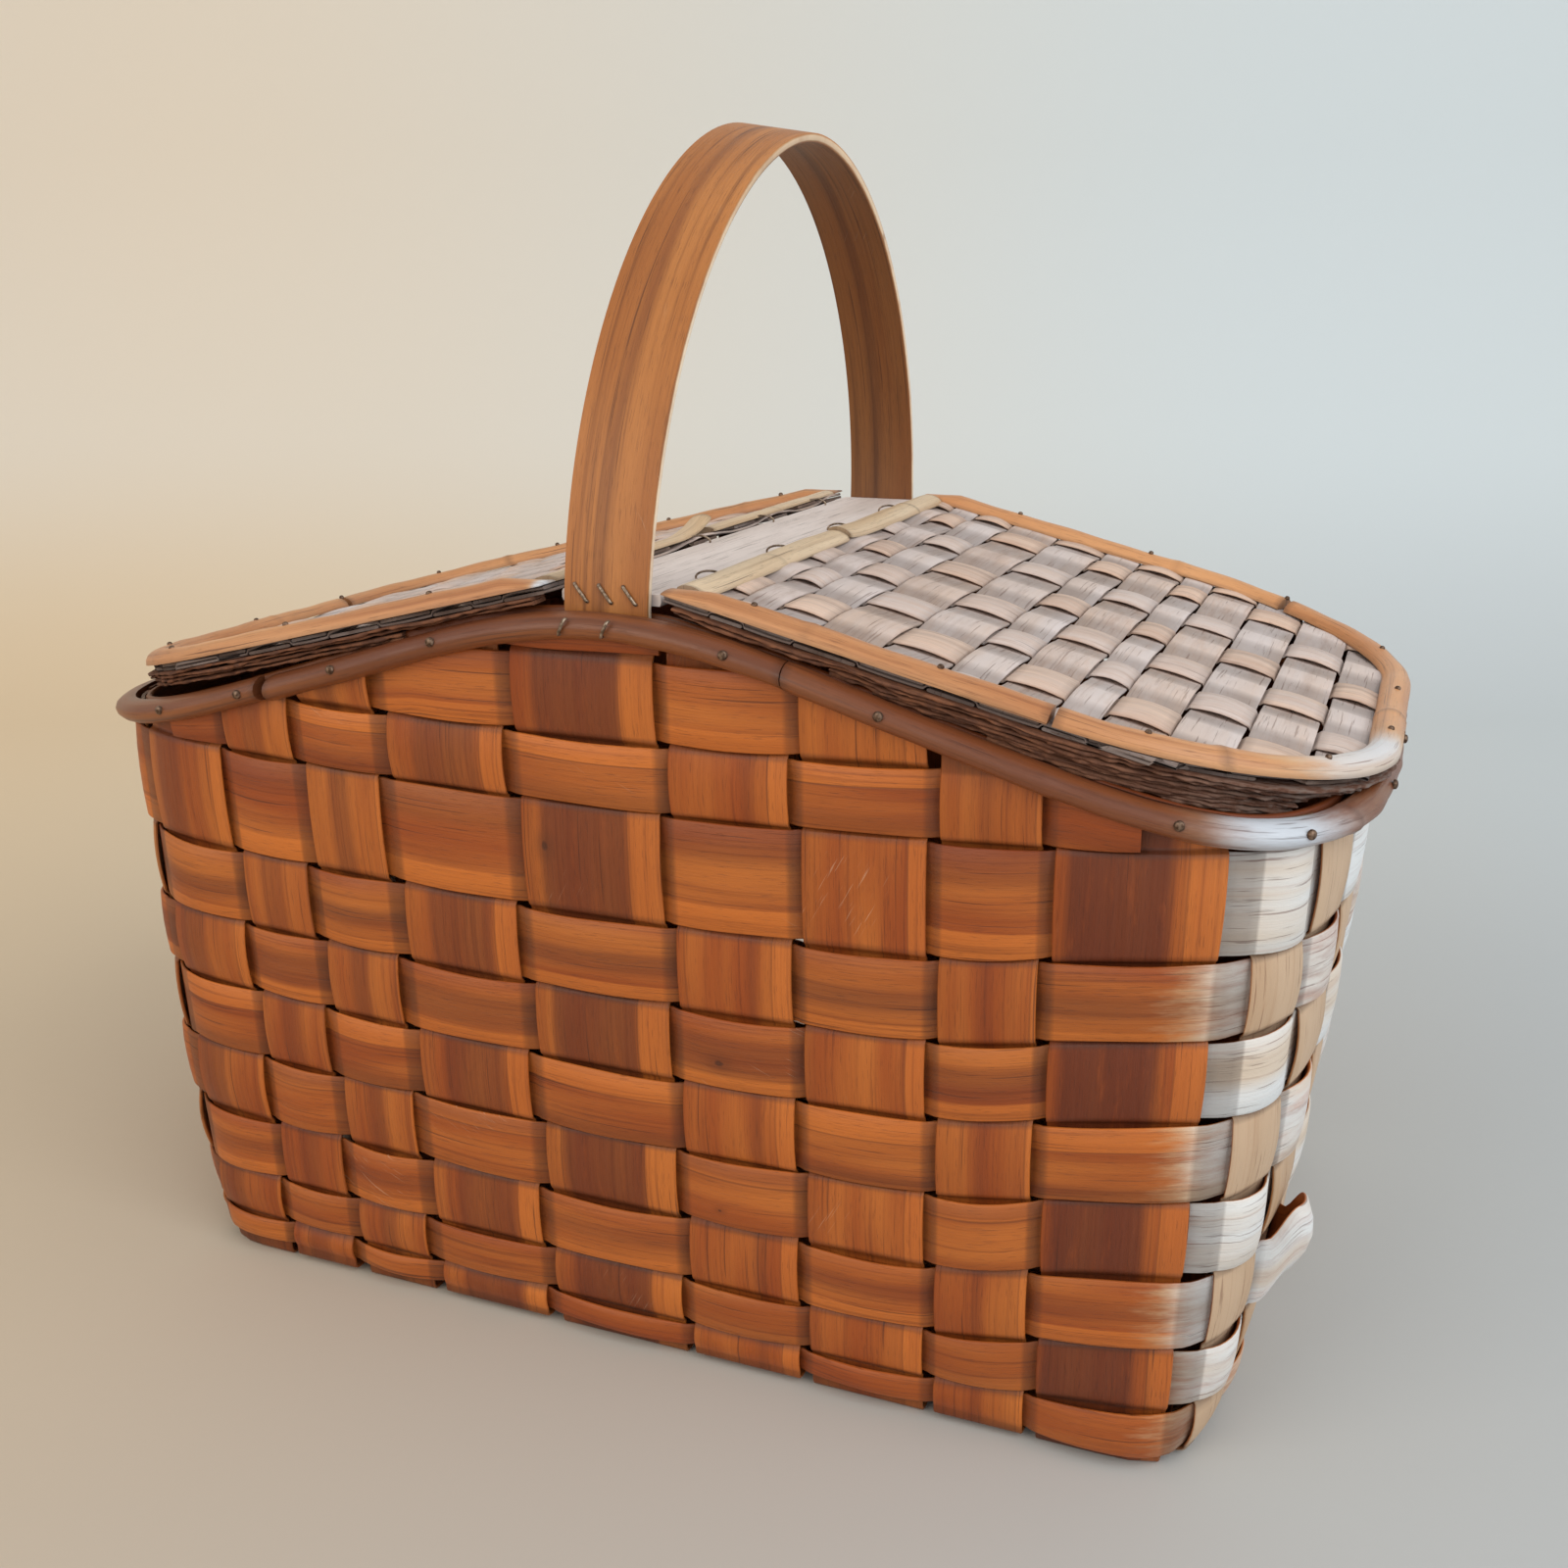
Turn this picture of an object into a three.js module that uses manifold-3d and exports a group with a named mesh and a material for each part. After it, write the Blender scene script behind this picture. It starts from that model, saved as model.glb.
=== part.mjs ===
// A picnic basket woven from wide wood splints: two flat lids hinged on a middle board, an arched
// handle and a half-round rod bent round the rim. Millimetres, +Z up, length along X, front at -Y.
import Module from "manifold-3d";
import * as THREE from "three";
import { mergeVertices } from "three/addons/utils/BufferGeometryUtils.js";

const wasm = await Module();
wasm.setup();

// Body: the middle surface of the woven wall, at the floor and at the rim.
const flatHalf = 140;
const floorHalfLength = 182;
const rimHalfLength = 214;
const floorHalfWidth = 118;
const rimHalfWidth = 131;
const rimEndHeight = 207;
const rimMiddleHeight = 254.5;
const rimSpan = 222;
const crownSpan = 100;
const crownShare = 0.1;
const floorCornerPower = 6.8;
const rimCornerPower = 3.4;
const flareShare = 0.5;
const roundingShare = 0.6;
const curveSteps = 240;

// Weave: every splint is a flat strip that passes over and under its neighbours.
const splintThickness = 1.2;
const weaveGap = 0.3;
const layerOffset = (splintThickness + weaveGap) / 2;
const seatGap = 0.3;
const rowRise = 7;
const riseBaseShare = 0.3;
const riseReach = 150;
const cornerLean = 7;
const cornerGap = 3.5;

// Splints that cross the basket: the places of their two edges along the long wall, as shares of
// the place where the corner begins.
const cornerPlace = 176;
const crossSplints = [
  { name: "cross_splint_1", edgeShares: [-1, -0.8409], cuts: 2, leanLeft: -cornerLean },
  { name: "cross_splint_2", edgeShares: [-0.8182, -0.6705], cuts: 1 },
  { name: "cross_splint_3", edgeShares: [-0.642, -0.483], cuts: 1 },
  { name: "cross_splint_4", edgeShares: [-0.4489, -0.2102], cuts: 1 },
  { name: "cross_splint_5", edgeShares: [-0.1818, 0.0909], cuts: 1 },
  { name: "cross_splint_6", edgeShares: [0.1136, 0.3295], cuts: 1 },
  { name: "cross_splint_7", edgeShares: [0.3523, 0.5682], cuts: 1 },
  { name: "cross_splint_8", edgeShares: [0.5909, 0.7557], cuts: 1 },
  { name: "cross_splint_9", edgeShares: [0.7784, 1], cuts: 2, leanRight: cornerLean },
];

// Splints that run lengthwise: the places of their edges as shares of half an end wall.
const endEdgeShares = [
  [-0.95, -0.8],
  [-0.765, -0.575],
  [-0.535, -0.31],
  [-0.265, -0.035],
  [0.035, 0.265],
  [0.31, 0.535],
  [0.575, 0.765],
  [0.8, 0.95],
];

// Weavers: the lower and upper edge of each row at the middle of the long wall, as shares of the
// rim's height there. A row with ends starts and stops at a share of a numbered cross splint's width.
const rows = [
  {
    edgeShares: [0.9686, 1.0098],
    ends: [{ splint: 5, widthShare: -0.05 }, { splint: 5, widthShare: 1.05 }],
  },
  {
    edgeShares: [0.8644, 0.9587],
    ends: [{ splint: 3, widthShare: 0.15 }, { splint: 7, widthShare: 0.85 }],
  },
  { edgeShares: [0.778, 0.8566], ends: [{ splint: 1, widthShare: 0.5 }, { splint: 9, widthShare: 0.5 }] },
  { edgeShares: [0.6346, 0.7721] },
  { edgeShares: [0.5265, 0.6267] },
  { edgeShares: [0.4244, 0.5187] },
  { edgeShares: [0.3222, 0.4165] },
  { edgeShares: [0.224, 0.3163] },
  { edgeShares: [0.1297, 0.2141] },
  { edgeShares: [0.0609, 0.1218] },
  { edgeShares: [0.0204, 0.053] },
];

// Floor: the splints turn under at the bend and lie flat in two layers.
const bendHeight = 4;
const bendInset = 1.3;
const bendDrop = 2.1;
const floorInset = 3.2;
const floorMiddle = layerOffset + splintThickness / 2;

// Rim: a half-round rod outside the wall and a flat band inside it, with the splints' ends between.
const rodHeight = 8.5;
const rodDepth = 7;
const rodSides = 6;
const bandHeight = 8;
const bandDepth = 2.6;
const bandEasing = 20;
const splintEndRise = 3;
const rimFace = layerOffset + splintThickness / 2 + seatGap;

// Handle: one bent flat splint whose legs go down inside the rim.
const handleWidth = 28;
const handleThickness = 3;
const handleTop = 403;
const springRise = 4.5;
const legDepth = 48.5;
const handleSpring = rimMiddleHeight + springRise;
const handleFoot = rimMiddleHeight - legDepth;
const handlePower = 1.9;
const handleLean = 12;
const handleTwist = THREE.MathUtils.degToRad(9);
const handleSteps = 36;

// Middle board between the legs and the wire loops along its two edges.
const boardHalfWidth = 16.4;
const boardThickness = 3.5;
const boardDrop = 0.5;
const hingeX = 17.8;
const hingeRise = 9.5;
const hingeZ = rimMiddleHeight + hingeRise;
const loopRadius = 5.5;
const wireRadius = 0.5;
const loopSteps = 12;
const wireSides = 5;
const slotClearance = 0.5;
const slotWidth = 2;

// Lids, measured along their own slope from the hinge axis. A lid lies just above the rim rod and
// reaches a little past the rim.
const lidClearance = 0.9;
const slopeSteps = 120;
const lidOverhang = 8;
const lidSideOverhang = 2;
const lidCorner = 90;
const lidThickness = 2.4;
const lidStart = 1.2;
const lidRodWidth = 10;
const lidRodHeight = 4.5;
const lidRodStart = 1.7;
const lidRodTaper = 14.5;
const lidRodTipHeight = 0.9;
const barkWidth = 9;
const barkThickness = 2;
const barkStart = 6;
const stripWidth = 10.5;
const stripThickness = 2;
const stripJoint = 5;
const arcSteps = 8;
const sideSteps = 4;
const lidHalfWidth = rimHalfWidth + lidSideOverhang;
const lidSlope = slopeOverRim();
const lidLength = (rimHalfLength + lidOverhang - hingeX) / Math.cos(lidSlope);
const loopPlaces = [-0.707, -0.271, 0.18, 0.632].map((share) => share * lidHalfWidth);

// A lid's weave: the edges of the splints across it as shares of its length, and of those out from
// the hinge as shares of half its width. A splint on top bows up between its neighbours.
const lidCrossEdgeShares = [
  [0.0093, 0.0776],
  [0.0813, 0.1299],
  [0.1336, 0.2019],
  [0.2065, 0.2972],
  [0.3028, 0.3939],
  [0.4, 0.4664],
  [0.472, 0.5533],
  [0.5589, 0.614],
  [0.6196, 0.7009],
  [0.7065, 0.7897],
  [0.7963, 0.8813],
  [0.8879, 0.963],
];
const lidOutEdgeShares = [
  [-0.9812, -0.8421],
  [-0.7519, -0.594],
  [-0.4962, -0.3459],
  [-0.2481, -0.0977],
  [0.03, 0.1805],
  [0.3233, 0.4699],
  [0.6466, 0.7932],
  [0.8797, 0.9812],
];
const lidSplintRise = 1.12;
const lidSplintDip = 0.12;
const lidCrossBow = 0.9;
const lidOutBow = 1.7;
const bowEdgeShare = 0.65;
const splintEdgeStep = 0.3;
const weaveOverlap = 0.2;
const weaveHeadroom = lidSplintRise + 2 * lidOutBow;

// Wire staples that pin each handle leg, lying aslant on its outer face.
const stapleLength = 6.8;
const stapleRadius = 0.6;
const stapleRise = 2.2;
const staplePitch = 8;
const stapleCapSteps = 1;
const stapleTilt = THREE.MathUtils.degToRad(40);

const colours = {
  splint: 0xb06a35,
  splintDark: 0x8a4d2b,
  rimRod: 0x9a5f38,
  handle: 0xb97a45,
  board: 0xa7988c,
  lidPanel: 0xb39c88,
  cane: 0xcb9461,
  paleCane: 0xd9bfa0,
  bark: 0x59392a,
  wire: 0x6b625c,
};

function finish(colour, roughness, metalness = 0) {
  return new THREE.MeshStandardMaterial({ color: colour, roughness, metalness });
}

const finishes = {
  splint: finish(colours.splint, 0.5),
  splintDark: finish(colours.splintDark, 0.5),
  rimRod: finish(colours.rimRod, 0.45),
  handle: finish(colours.handle, 0.5),
  board: finish(colours.board, 0.7),
  lidPanel: finish(colours.lidPanel, 0.7),
  cane: finish(colours.cane, 0.45),
  paleCane: finish(colours.paleCane, 0.5),
  bark: finish(colours.bark, 0.9),
  wire: finish(colours.wire, 0.4, 0.8),
};

// A closed solid through a row of closed sections. All sections have the same number of points.
function loft(sections, closed) {
  const count = sections[0].length;
  const positions = sections.flat(2);
  const faces = [];
  const rings = sections.length;
  const spans = closed ? rings : rings - 1;
  for (let i = 0; i < spans; i += 1) {
    const next = (i + 1) % rings;
    for (let k = 0; k < count; k += 1) {
      const beside = (k + 1) % count;
      const a = i * count + k;
      const b = i * count + beside;
      const c = next * count + k;
      const d = next * count + beside;
      faces.push([a, c, b], [b, c, d]);
    }
  }
  if (!closed) {
    const last = (rings - 1) * count;
    for (let k = 1; k < count - 1; k += 1) {
      faces.push([0, k, k + 1], [last, last + k + 1, last + k]);
    }
  }
  return solid(positions, faces);
}

// A strip with thickness over a grid of places. Each station holds points across the strip, and
// each point has an outer and an inner corner. One diagonal for the strips along the wall and the
// other for the strips up it keep two crossing strips parallel.
function strip(stations, closed, upright) {
  const across = stations[0].length;
  const positions = [];
  for (const station of stations) {
    for (const point of station) positions.push(...point.outer);
    for (const point of station) positions.push(...point.inner);
  }
  const faces = [];
  const count = stations.length;
  const spans = closed ? count : count - 1;
  const outer = (i, j) => (i % count) * 2 * across + j;
  const inner = (i, j) => outer(i, j) + across;
  for (let i = 0; i < spans; i += 1) {
    for (let j = 0; j < across - 1; j += 1) {
      if (upright) {
        faces.push([outer(i, j), outer(i + 1, j), outer(i, j + 1)]);
        faces.push([outer(i, j + 1), outer(i + 1, j), outer(i + 1, j + 1)]);
        faces.push([inner(i, j), inner(i, j + 1), inner(i + 1, j)]);
        faces.push([inner(i, j + 1), inner(i + 1, j + 1), inner(i + 1, j)]);
      } else {
        faces.push([outer(i, j), outer(i + 1, j), outer(i + 1, j + 1)]);
        faces.push([outer(i, j), outer(i + 1, j + 1), outer(i, j + 1)]);
        faces.push([inner(i, j), inner(i + 1, j + 1), inner(i + 1, j)]);
        faces.push([inner(i, j), inner(i, j + 1), inner(i + 1, j + 1)]);
      }
    }
    const far = across - 1;
    faces.push([outer(i, 0), inner(i, 0), outer(i + 1, 0)]);
    faces.push([inner(i, 0), inner(i + 1, 0), outer(i + 1, 0)]);
    faces.push([outer(i, far), outer(i + 1, far), inner(i, far)]);
    faces.push([inner(i, far), outer(i + 1, far), inner(i + 1, far)]);
  }
  if (!closed) {
    const end = count - 1;
    for (let j = 0; j < across - 1; j += 1) {
      faces.push([outer(0, j), outer(0, j + 1), inner(0, j)]);
      faces.push([inner(0, j), outer(0, j + 1), inner(0, j + 1)]);
      faces.push([outer(end, j), inner(end, j), outer(end, j + 1)]);
      faces.push([inner(end, j), inner(end, j + 1), outer(end, j + 1)]);
    }
  }
  return solid(positions, faces);
}

// Faces turned outward whichever way the sections ran.
function solid(positions, faces) {
  let volume = 0;
  const corner = (index) => new THREE.Vector3().fromArray(positions, index * 3);
  for (const [a, b, c] of faces) volume += corner(a).dot(corner(b).cross(corner(c)));
  const turned = volume < 0 ? faces.map(([a, b, c]) => [a, c, b]) : faces;
  const geometry = new THREE.BufferGeometry();
  geometry.setAttribute("position", new THREE.Float32BufferAttribute(positions, 3));
  geometry.setIndex(turned.flat());
  geometry.computeVertexNormals();
  return geometry;
}

// Share of the rim's height, kept between the floor and a little above the rim's ends.
function heightShare(z) {
  return Math.min(Math.max(z / rimEndHeight, 0), 1);
}

function halfLength(z) {
  return floorHalfLength + (rimHalfLength - floorHalfLength) * heightShare(z) ** flareShare;
}

function halfWidth(z) {
  return floorHalfWidth + ((rimHalfWidth - floorHalfWidth) * z) / rimMiddleHeight;
}

function cornerPower(z) {
  return floorCornerPower + (rimCornerPower - floorCornerPower) * heightShare(z) ** roundingShare;
}

// One rounded end of the plan at a height: a table of distance along the wall, x and y.
const endCurves = new Map();

function endCurve(z) {
  if (endCurves.has(z)) return endCurves.get(z);
  const bulge = halfLength(z) - flatHalf;
  const width = halfWidth(z);
  const power = 2 / cornerPower(z);
  const table = [];
  let along = flatHalf;
  for (let i = 0; i <= curveSteps; i += 1) {
    const turn = (Math.PI / 2) * (i / curveSteps);
    const x = flatHalf + bulge * Math.sin(turn) ** power;
    const y = i === curveSteps ? 0 : -width * Math.cos(turn) ** power;
    if (i > 0) along += Math.hypot(x - table[i - 1].x, y - table[i - 1].y);
    table.push({ along, x, y });
  }
  endCurves.set(z, table);
  return table;
}

function quarter(z) {
  return endCurve(z).at(-1).along;
}

// A point of the front right quarter of the plan, by its distance from the middle of the wall.
function quarterPoint(along, z) {
  if (along <= flatHalf) return { x: along, y: -halfWidth(z), nx: 0, ny: -1 };
  const table = endCurve(z);
  let high = table.findIndex((entry) => entry.along >= along);
  if (high < 1) high = high === 0 ? 1 : table.length - 1;
  const a = table[high - 1];
  const b = table[high];
  const share = Math.min(Math.max((along - a.along) / (b.along - a.along), 0), 1);
  const tx = b.x - a.x;
  const ty = b.y - a.y;
  const size = Math.hypot(tx, ty);
  return { x: a.x + tx * share, y: a.y + ty * share, nx: ty / size, ny: -tx / size };
}

// A place on the wall is { side, along } on a long wall or { side, share } on an end wall.
function planPoint(place, z) {
  if (place.side === "front" || place.side === "back") {
    const along = place.along + ((place.lean ?? 0) * z) / rimEndHeight;
    const p = quarterPoint(Math.abs(along), z);
    const mirrorX = along < 0 ? -1 : 1;
    const mirrorY = place.side === "back" ? -1 : 1;
    return { x: p.x * mirrorX, y: p.y * mirrorY, nx: p.nx * mirrorX, ny: p.ny * mirrorY };
  }
  const whole = quarter(z);
  const corner = cornerPlace + cornerGap + (cornerLean * z) / rimEndHeight;
  const along = whole - Math.abs(place.share) * (whole - corner);
  const p = quarterPoint(along, z);
  const mirrorX = place.side === "left" ? -1 : 1;
  const mirrorY = place.share > 0 ? -1 : 1;
  return { x: p.x * mirrorX, y: p.y * mirrorY, nx: p.nx * mirrorX, ny: p.ny * mirrorY };
}

function wallPoint(place, z, offset) {
  const p = planPoint(place, z);
  return [p.x + p.nx * offset, p.y + p.ny * offset, z];
}

// A smooth rise that is 1 in the middle of the long wall and 0 from half a span out.
function swell(x, span) {
  return (1 + Math.cos((Math.PI * Math.min(Math.abs(x), span)) / span)) / 2;
}

// The rim's height: one wide rise from end to end, and a small narrow one on top of it.
function rimHeight(x) {
  const share = (1 - crownShare) * swell(x, rimSpan) + crownShare * swell(x, crownSpan);
  return rimEndHeight + (rimMiddleHeight - rimEndHeight) * share;
}

// The steepest slope at which a lid's underside still clears the rim rod.
function slopeOverRim() {
  const depth = lidThickness / 2 + seatGap + barkThickness + lidClearance;
  const slopes = [];
  for (let i = 1; i <= slopeSteps; i += 1) {
    const out = (rimHalfLength - hingeX) * (i / slopeSteps);
    const down = hingeZ - rimHeight(hingeX + out) - rodHeight / 2;
    slopes.push(Math.acos(depth / Math.hypot(out, down)) - Math.atan2(out, down));
  }
  return Math.min(...slopes);
}

function rimHeightAt(place) {
  return rimHeight(planPoint(place, rimEndHeight).x);
}

// Height of a row's edge: rows climb a little from the middle of the long wall to the corners.
function rowHeight(edgeShare, place) {
  const height = edgeShare * rimMiddleHeight;
  const share = Math.min(1, riseBaseShare + height / riseReach);
  const reach = place.side === "left" || place.side === "right" ? 1 : Math.abs(place.along) / cornerPlace;
  return height + rowRise * share * reach ** 2;
}

function rowTop(row, place) {
  return Math.min(rowHeight(row.edgeShares[1], place), rimHeightAt(place) + splintEndRise);
}

// Distance along the long wall of one end of a short row.
function rowEnd({ splint, widthShare }) {
  const [left, right] = crossSplints[splint - 1].edgeShares;
  return (left + (right - left) * widthShare) * cornerPlace;
}

function rowCrosses(row, upright) {
  if (!row.ends) return true;
  if (upright.side === "left" || upright.side === "right") return false;
  const [from, to] = row.ends.map(rowEnd);
  return Math.max(upright.first, upright.second) > from && Math.min(upright.first, upright.second) < to;
}

// The row passes outside the upright when their numbers are both odd or both even.
function rowOutside(rowIndex, uprightOdd) {
  return (rowIndex % 2 === 0) === uprightOdd;
}

// A place at a share of the width of an upright, counted from its first edge.
function placeAcross(upright, share) {
  const between = upright.first + (upright.second - upright.first) * share;
  if (upright.side === "left" || upright.side === "right") return { side: upright.side, share: between };
  const lean = (upright.leanFirst ?? 0) * (1 - share) + (upright.leanSecond ?? 0) * share;
  return { side: upright.side, along: between, lean };
}

// Shares of an upright's width at which the strips that cross it may bend.
function cutShares(upright) {
  return Array.from({ length: upright.cuts + 1 }, (_, i) => i / upright.cuts);
}

function acrossPlaces(upright) {
  return cutShares(upright).map((share) => placeAcross(upright, share));
}

// Uprights of the four walls in order round the basket, seen from above, counter-clockwise.
function uprightsRound() {
  const front = crossSplints.map((s, i) => ({
    side: "front",
    first: s.edgeShares[0] * cornerPlace,
    second: s.edgeShares[1] * cornerPlace,
    leanFirst: s.leanLeft,
    leanSecond: s.leanRight,
    cuts: s.cuts,
    odd: i % 2 === 0,
  }));
  const right = endEdgeShares.map(([first, second], i) => ({
    side: "right",
    first,
    second,
    cuts: 1,
    odd: i % 2 === 1,
  }));
  const back = front
    .map((u) => ({ ...u, side: "back", odd: !u.odd }))
    .map((u) => ({
      ...u,
      first: u.second,
      second: u.first,
      leanFirst: u.leanSecond,
      leanSecond: u.leanFirst,
    }))
    .reverse();
  const left = right
    .map((u) => ({ ...u, side: "left", first: u.second, second: u.first }))
    .reverse();
  return [...front, ...right, ...back, ...left];
}

function weaverStation(row, place, offset) {
  const half = splintThickness / 2;
  const heights = [rowHeight(row.edgeShares[0], place), rowTop(row, place)];
  return heights.map((z) => ({
    outer: wallPoint(place, z, offset + half),
    inner: wallPoint(place, z, offset - half),
  }));
}

// A weaver that closes round the basket.
function ringWeaver(rowIndex) {
  const stations = [];
  for (const upright of uprightsRound()) {
    const offset = rowOutside(rowIndex, upright.odd) ? layerOffset : -layerOffset;
    for (const place of acrossPlaces(upright)) {
      stations.push(weaverStation(rows[rowIndex], place, offset));
    }
  }
  return strip(stations, true, false);
}

// A short weaver under the rim's crown, on one long wall, whose ends lie behind or before a splint.
function shortWeaver(rowIndex, side) {
  const row = rows[rowIndex];
  const crossed = uprightsRound().filter((u) => u.side === side && rowCrosses(row, u));
  const [left, right] = row.ends.map(({ widthShare }) => widthShare);
  const [begin, end] = side === "front" ? [left, right] : [1 - right, 1 - left];
  const stations = crossed.flatMap((upright, i) => {
    const from = i === 0 ? begin : 0;
    const to = i === crossed.length - 1 ? end : 1;
    const between = cutShares(upright).filter((share) => share > from && share < to);
    const offset = rowOutside(rowIndex, upright.odd) ? layerOffset : -layerOffset;
    return [from, ...between, to].map((share) => {
      return weaverStation(row, placeAcross(upright, share), offset);
    });
  });
  return strip(stations, false, false);
}

// Stations up one wall for an upright, from the rim down to the bend.
function wallStations(upright) {
  const half = splintThickness / 2;
  const places = acrossPlaces(upright);
  const stations = [];
  const add = (heightOf, offset) => {
    stations.push(
      places.map((place) => ({
        outer: wallPoint(place, heightOf(place), offset + half),
        inner: wallPoint(place, heightOf(place), offset - half),
      })),
    );
  };
  const crossed = rows.filter((row) => rowCrosses(row, upright));
  const offsetAt = (row) => (rowOutside(rows.indexOf(row), upright.odd) ? -layerOffset : layerOffset);
  const crown = (place) => rimHeightAt(place) + splintEndRise;
  const tops = places.map((place) => rowTop(crossed[0], place));
  const crowns = places.map(crown);
  if (crowns.some((z, i) => z - tops[i] > weaveGap)) {
    add((place) => crown(place) + weaveGap, offsetAt(crossed[0]));
  }
  for (const row of crossed) {
    add((place) => rowTop(row, place), offsetAt(row));
    add((place) => rowHeight(row.edgeShares[0], place), offsetAt(row));
  }
  add(() => bendHeight, offsetAt(crossed.at(-1)));
  return stations;
}

// Stations of the turn from a wall to the floor: half way round, then flat on the floor.
function turnStations(upright, wallOffset, floorOffset) {
  const half = splintThickness / 2;
  const places = acrossPlaces(upright);
  const lengthwise = upright.side === "left" || upright.side === "right";
  const inward = (place, inset) => {
    const p = planPoint(place, bendHeight);
    if (lengthwise) return [p.x - Math.sign(p.x) * inset, p.y];
    return [p.x, p.y - Math.sign(p.y) * inset];
  };
  const diagonal = Math.SQRT1_2;
  const turn = places.map((place) => {
    const [x, y] = inward(place, bendInset);
    const middle = (wallOffset + floorOffset) / 2;
    const corner = (offset) => {
      const reach = offset * diagonal;
      if (lengthwise) return [x + Math.sign(x) * reach, y, bendDrop - reach];
      return [x, y + Math.sign(y) * reach, bendDrop - reach];
    };
    return { outer: corner(middle + half), inner: corner(middle - half) };
  });
  const flat = places.map((place) => {
    const [x, y] = inward(place, floorInset);
    return {
      outer: [x, y, floorMiddle - floorOffset - half],
      inner: [x, y, floorMiddle - floorOffset + half],
    };
  });
  return [turn, flat];
}

// On the floor the lengthwise splint passes below the cross splint when one number is odd.
function lengthwiseBelow(crossIndex, lengthIndex) {
  return (crossIndex + lengthIndex) % 2 === 1;
}

function floorPoint(x, y, offset) {
  const half = splintThickness / 2;
  return {
    outer: [x, y, floorMiddle - offset - half],
    inner: [x, y, floorMiddle - offset + half],
  };
}

function lengthEdge(share) {
  return planPoint({ side: "right", share }, bendHeight).y;
}

function crossEdge(place) {
  return planPoint(place, bendHeight).x;
}

// One cross splint: down the front wall, under the floor and up the back wall.
function crossSplint(index) {
  const uprights = uprightsRound();
  const front = uprights[index];
  const backOf = uprights.find((u) => u.side === "back" && u.second === front.first);
  const back = { ...backOf, first: front.first, second: front.second };
  back.leanFirst = front.leanFirst;
  back.leanSecond = front.leanSecond;
  const lastRow = rows.length - 1;
  const frontOffset = rowOutside(lastRow, front.odd) ? -layerOffset : layerOffset;
  const backOffset = rowOutside(lastRow, back.odd) ? -layerOffset : layerOffset;
  const offsetAt = (j) => (lengthwiseBelow(index + 1, j + 1) ? -layerOffset : layerOffset);
  const xs = acrossPlaces(front).map(crossEdge);
  const floor = [];
  endEdgeShares.forEach((edges, j) => {
    for (const share of edges) floor.push(xs.map((x) => floorPoint(x, lengthEdge(share), offsetAt(j))));
  });
  const last = endEdgeShares.length - 1;
  const stations = [
    ...wallStations(front),
    ...turnStations(front, frontOffset, offsetAt(0)),
    ...floor,
    ...turnStations(back, backOffset, offsetAt(last)).reverse(),
    ...wallStations(back).reverse(),
  ];
  return strip(stations, false, true);
}

// One lengthwise splint: down the right end, under the floor and up the left end.
function lengthSplint(index) {
  const uprights = uprightsRound();
  const right = uprights.filter((u) => u.side === "right")[index];
  const left = { ...right, side: "left" };
  const lastRow = rows.length - 1;
  const wallOffset = rowOutside(lastRow, right.odd) ? -layerOffset : layerOffset;
  const offsetAt = (i) => (lengthwiseBelow(i + 1, index + 1) ? layerOffset : -layerOffset);
  const ys = acrossPlaces(right).map((place) => lengthEdge(place.share));
  const floor = [];
  const order = uprights.filter((u) => u.side === "front");
  order.forEach((cross, i) => {
    const edges = acrossPlaces(cross).map(crossEdge);
    floor.push({ x: edges[0], i }, { x: edges.at(-1), i });
  });
  floor.reverse();
  const last = crossSplints.length - 1;
  const stations = [
    ...wallStations(right),
    ...turnStations(right, wallOffset, offsetAt(last)),
    ...floor.map(({ x, i }) => ys.map((y) => floorPoint(x, y, offsetAt(i)))),
    ...turnStations(left, wallOffset, offsetAt(0)).reverse(),
    ...wallStations(left).reverse(),
  ];
  return strip(stations, false, true);
}

// Places all round the rim for the rod and the band: the edges of every upright, so that the rod
// keeps the same chords as the splints behind it, and the middle of each one on the long walls.
function rimPlaces() {
  return uprightsRound().flatMap((upright) => {
    const straight = upright.cuts === 1 && (upright.side === "front" || upright.side === "back");
    return acrossPlaces(straight ? { ...upright, cuts: 2 } : upright);
  });
}

function rimSection(place, corners) {
  const z = rimHeightAt(place);
  return corners.map(([offset, rise]) => wallPoint(place, z + rise, offset));
}

function rimRod() {
  const corners = [];
  for (let i = 0; i <= rodSides; i += 1) {
    const turn = Math.PI * (i / rodSides) - Math.PI / 2;
    corners.push([rimFace + rodDepth * Math.cos(turn), (rodHeight / 2) * Math.sin(turn)]);
  }
  return loft(rimPlaces().map((place) => rimSection(place, corners)), true);
}

// The inner band steps inward to pass behind each handle leg.
function rimBand() {
  const legSpan = handleWidth / 2 + seatGap;
  const sections = rimPlaces().map((place) => {
    const near = place.along === undefined ? rimSpan : Math.abs(place.along);
    const share = near < legSpan + bandEasing ? 1 : 0;
    const face = rimFace + (handleThickness + seatGap) * share;
    const corners = [
      [-face, -bandHeight / 2],
      [-face, bandHeight / 2],
      [-face - bandDepth, bandHeight / 2],
      [-face - bandDepth, -bandHeight / 2],
    ];
    return rimSection(place, corners);
  });
  return loft(sections, true);
}

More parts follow.
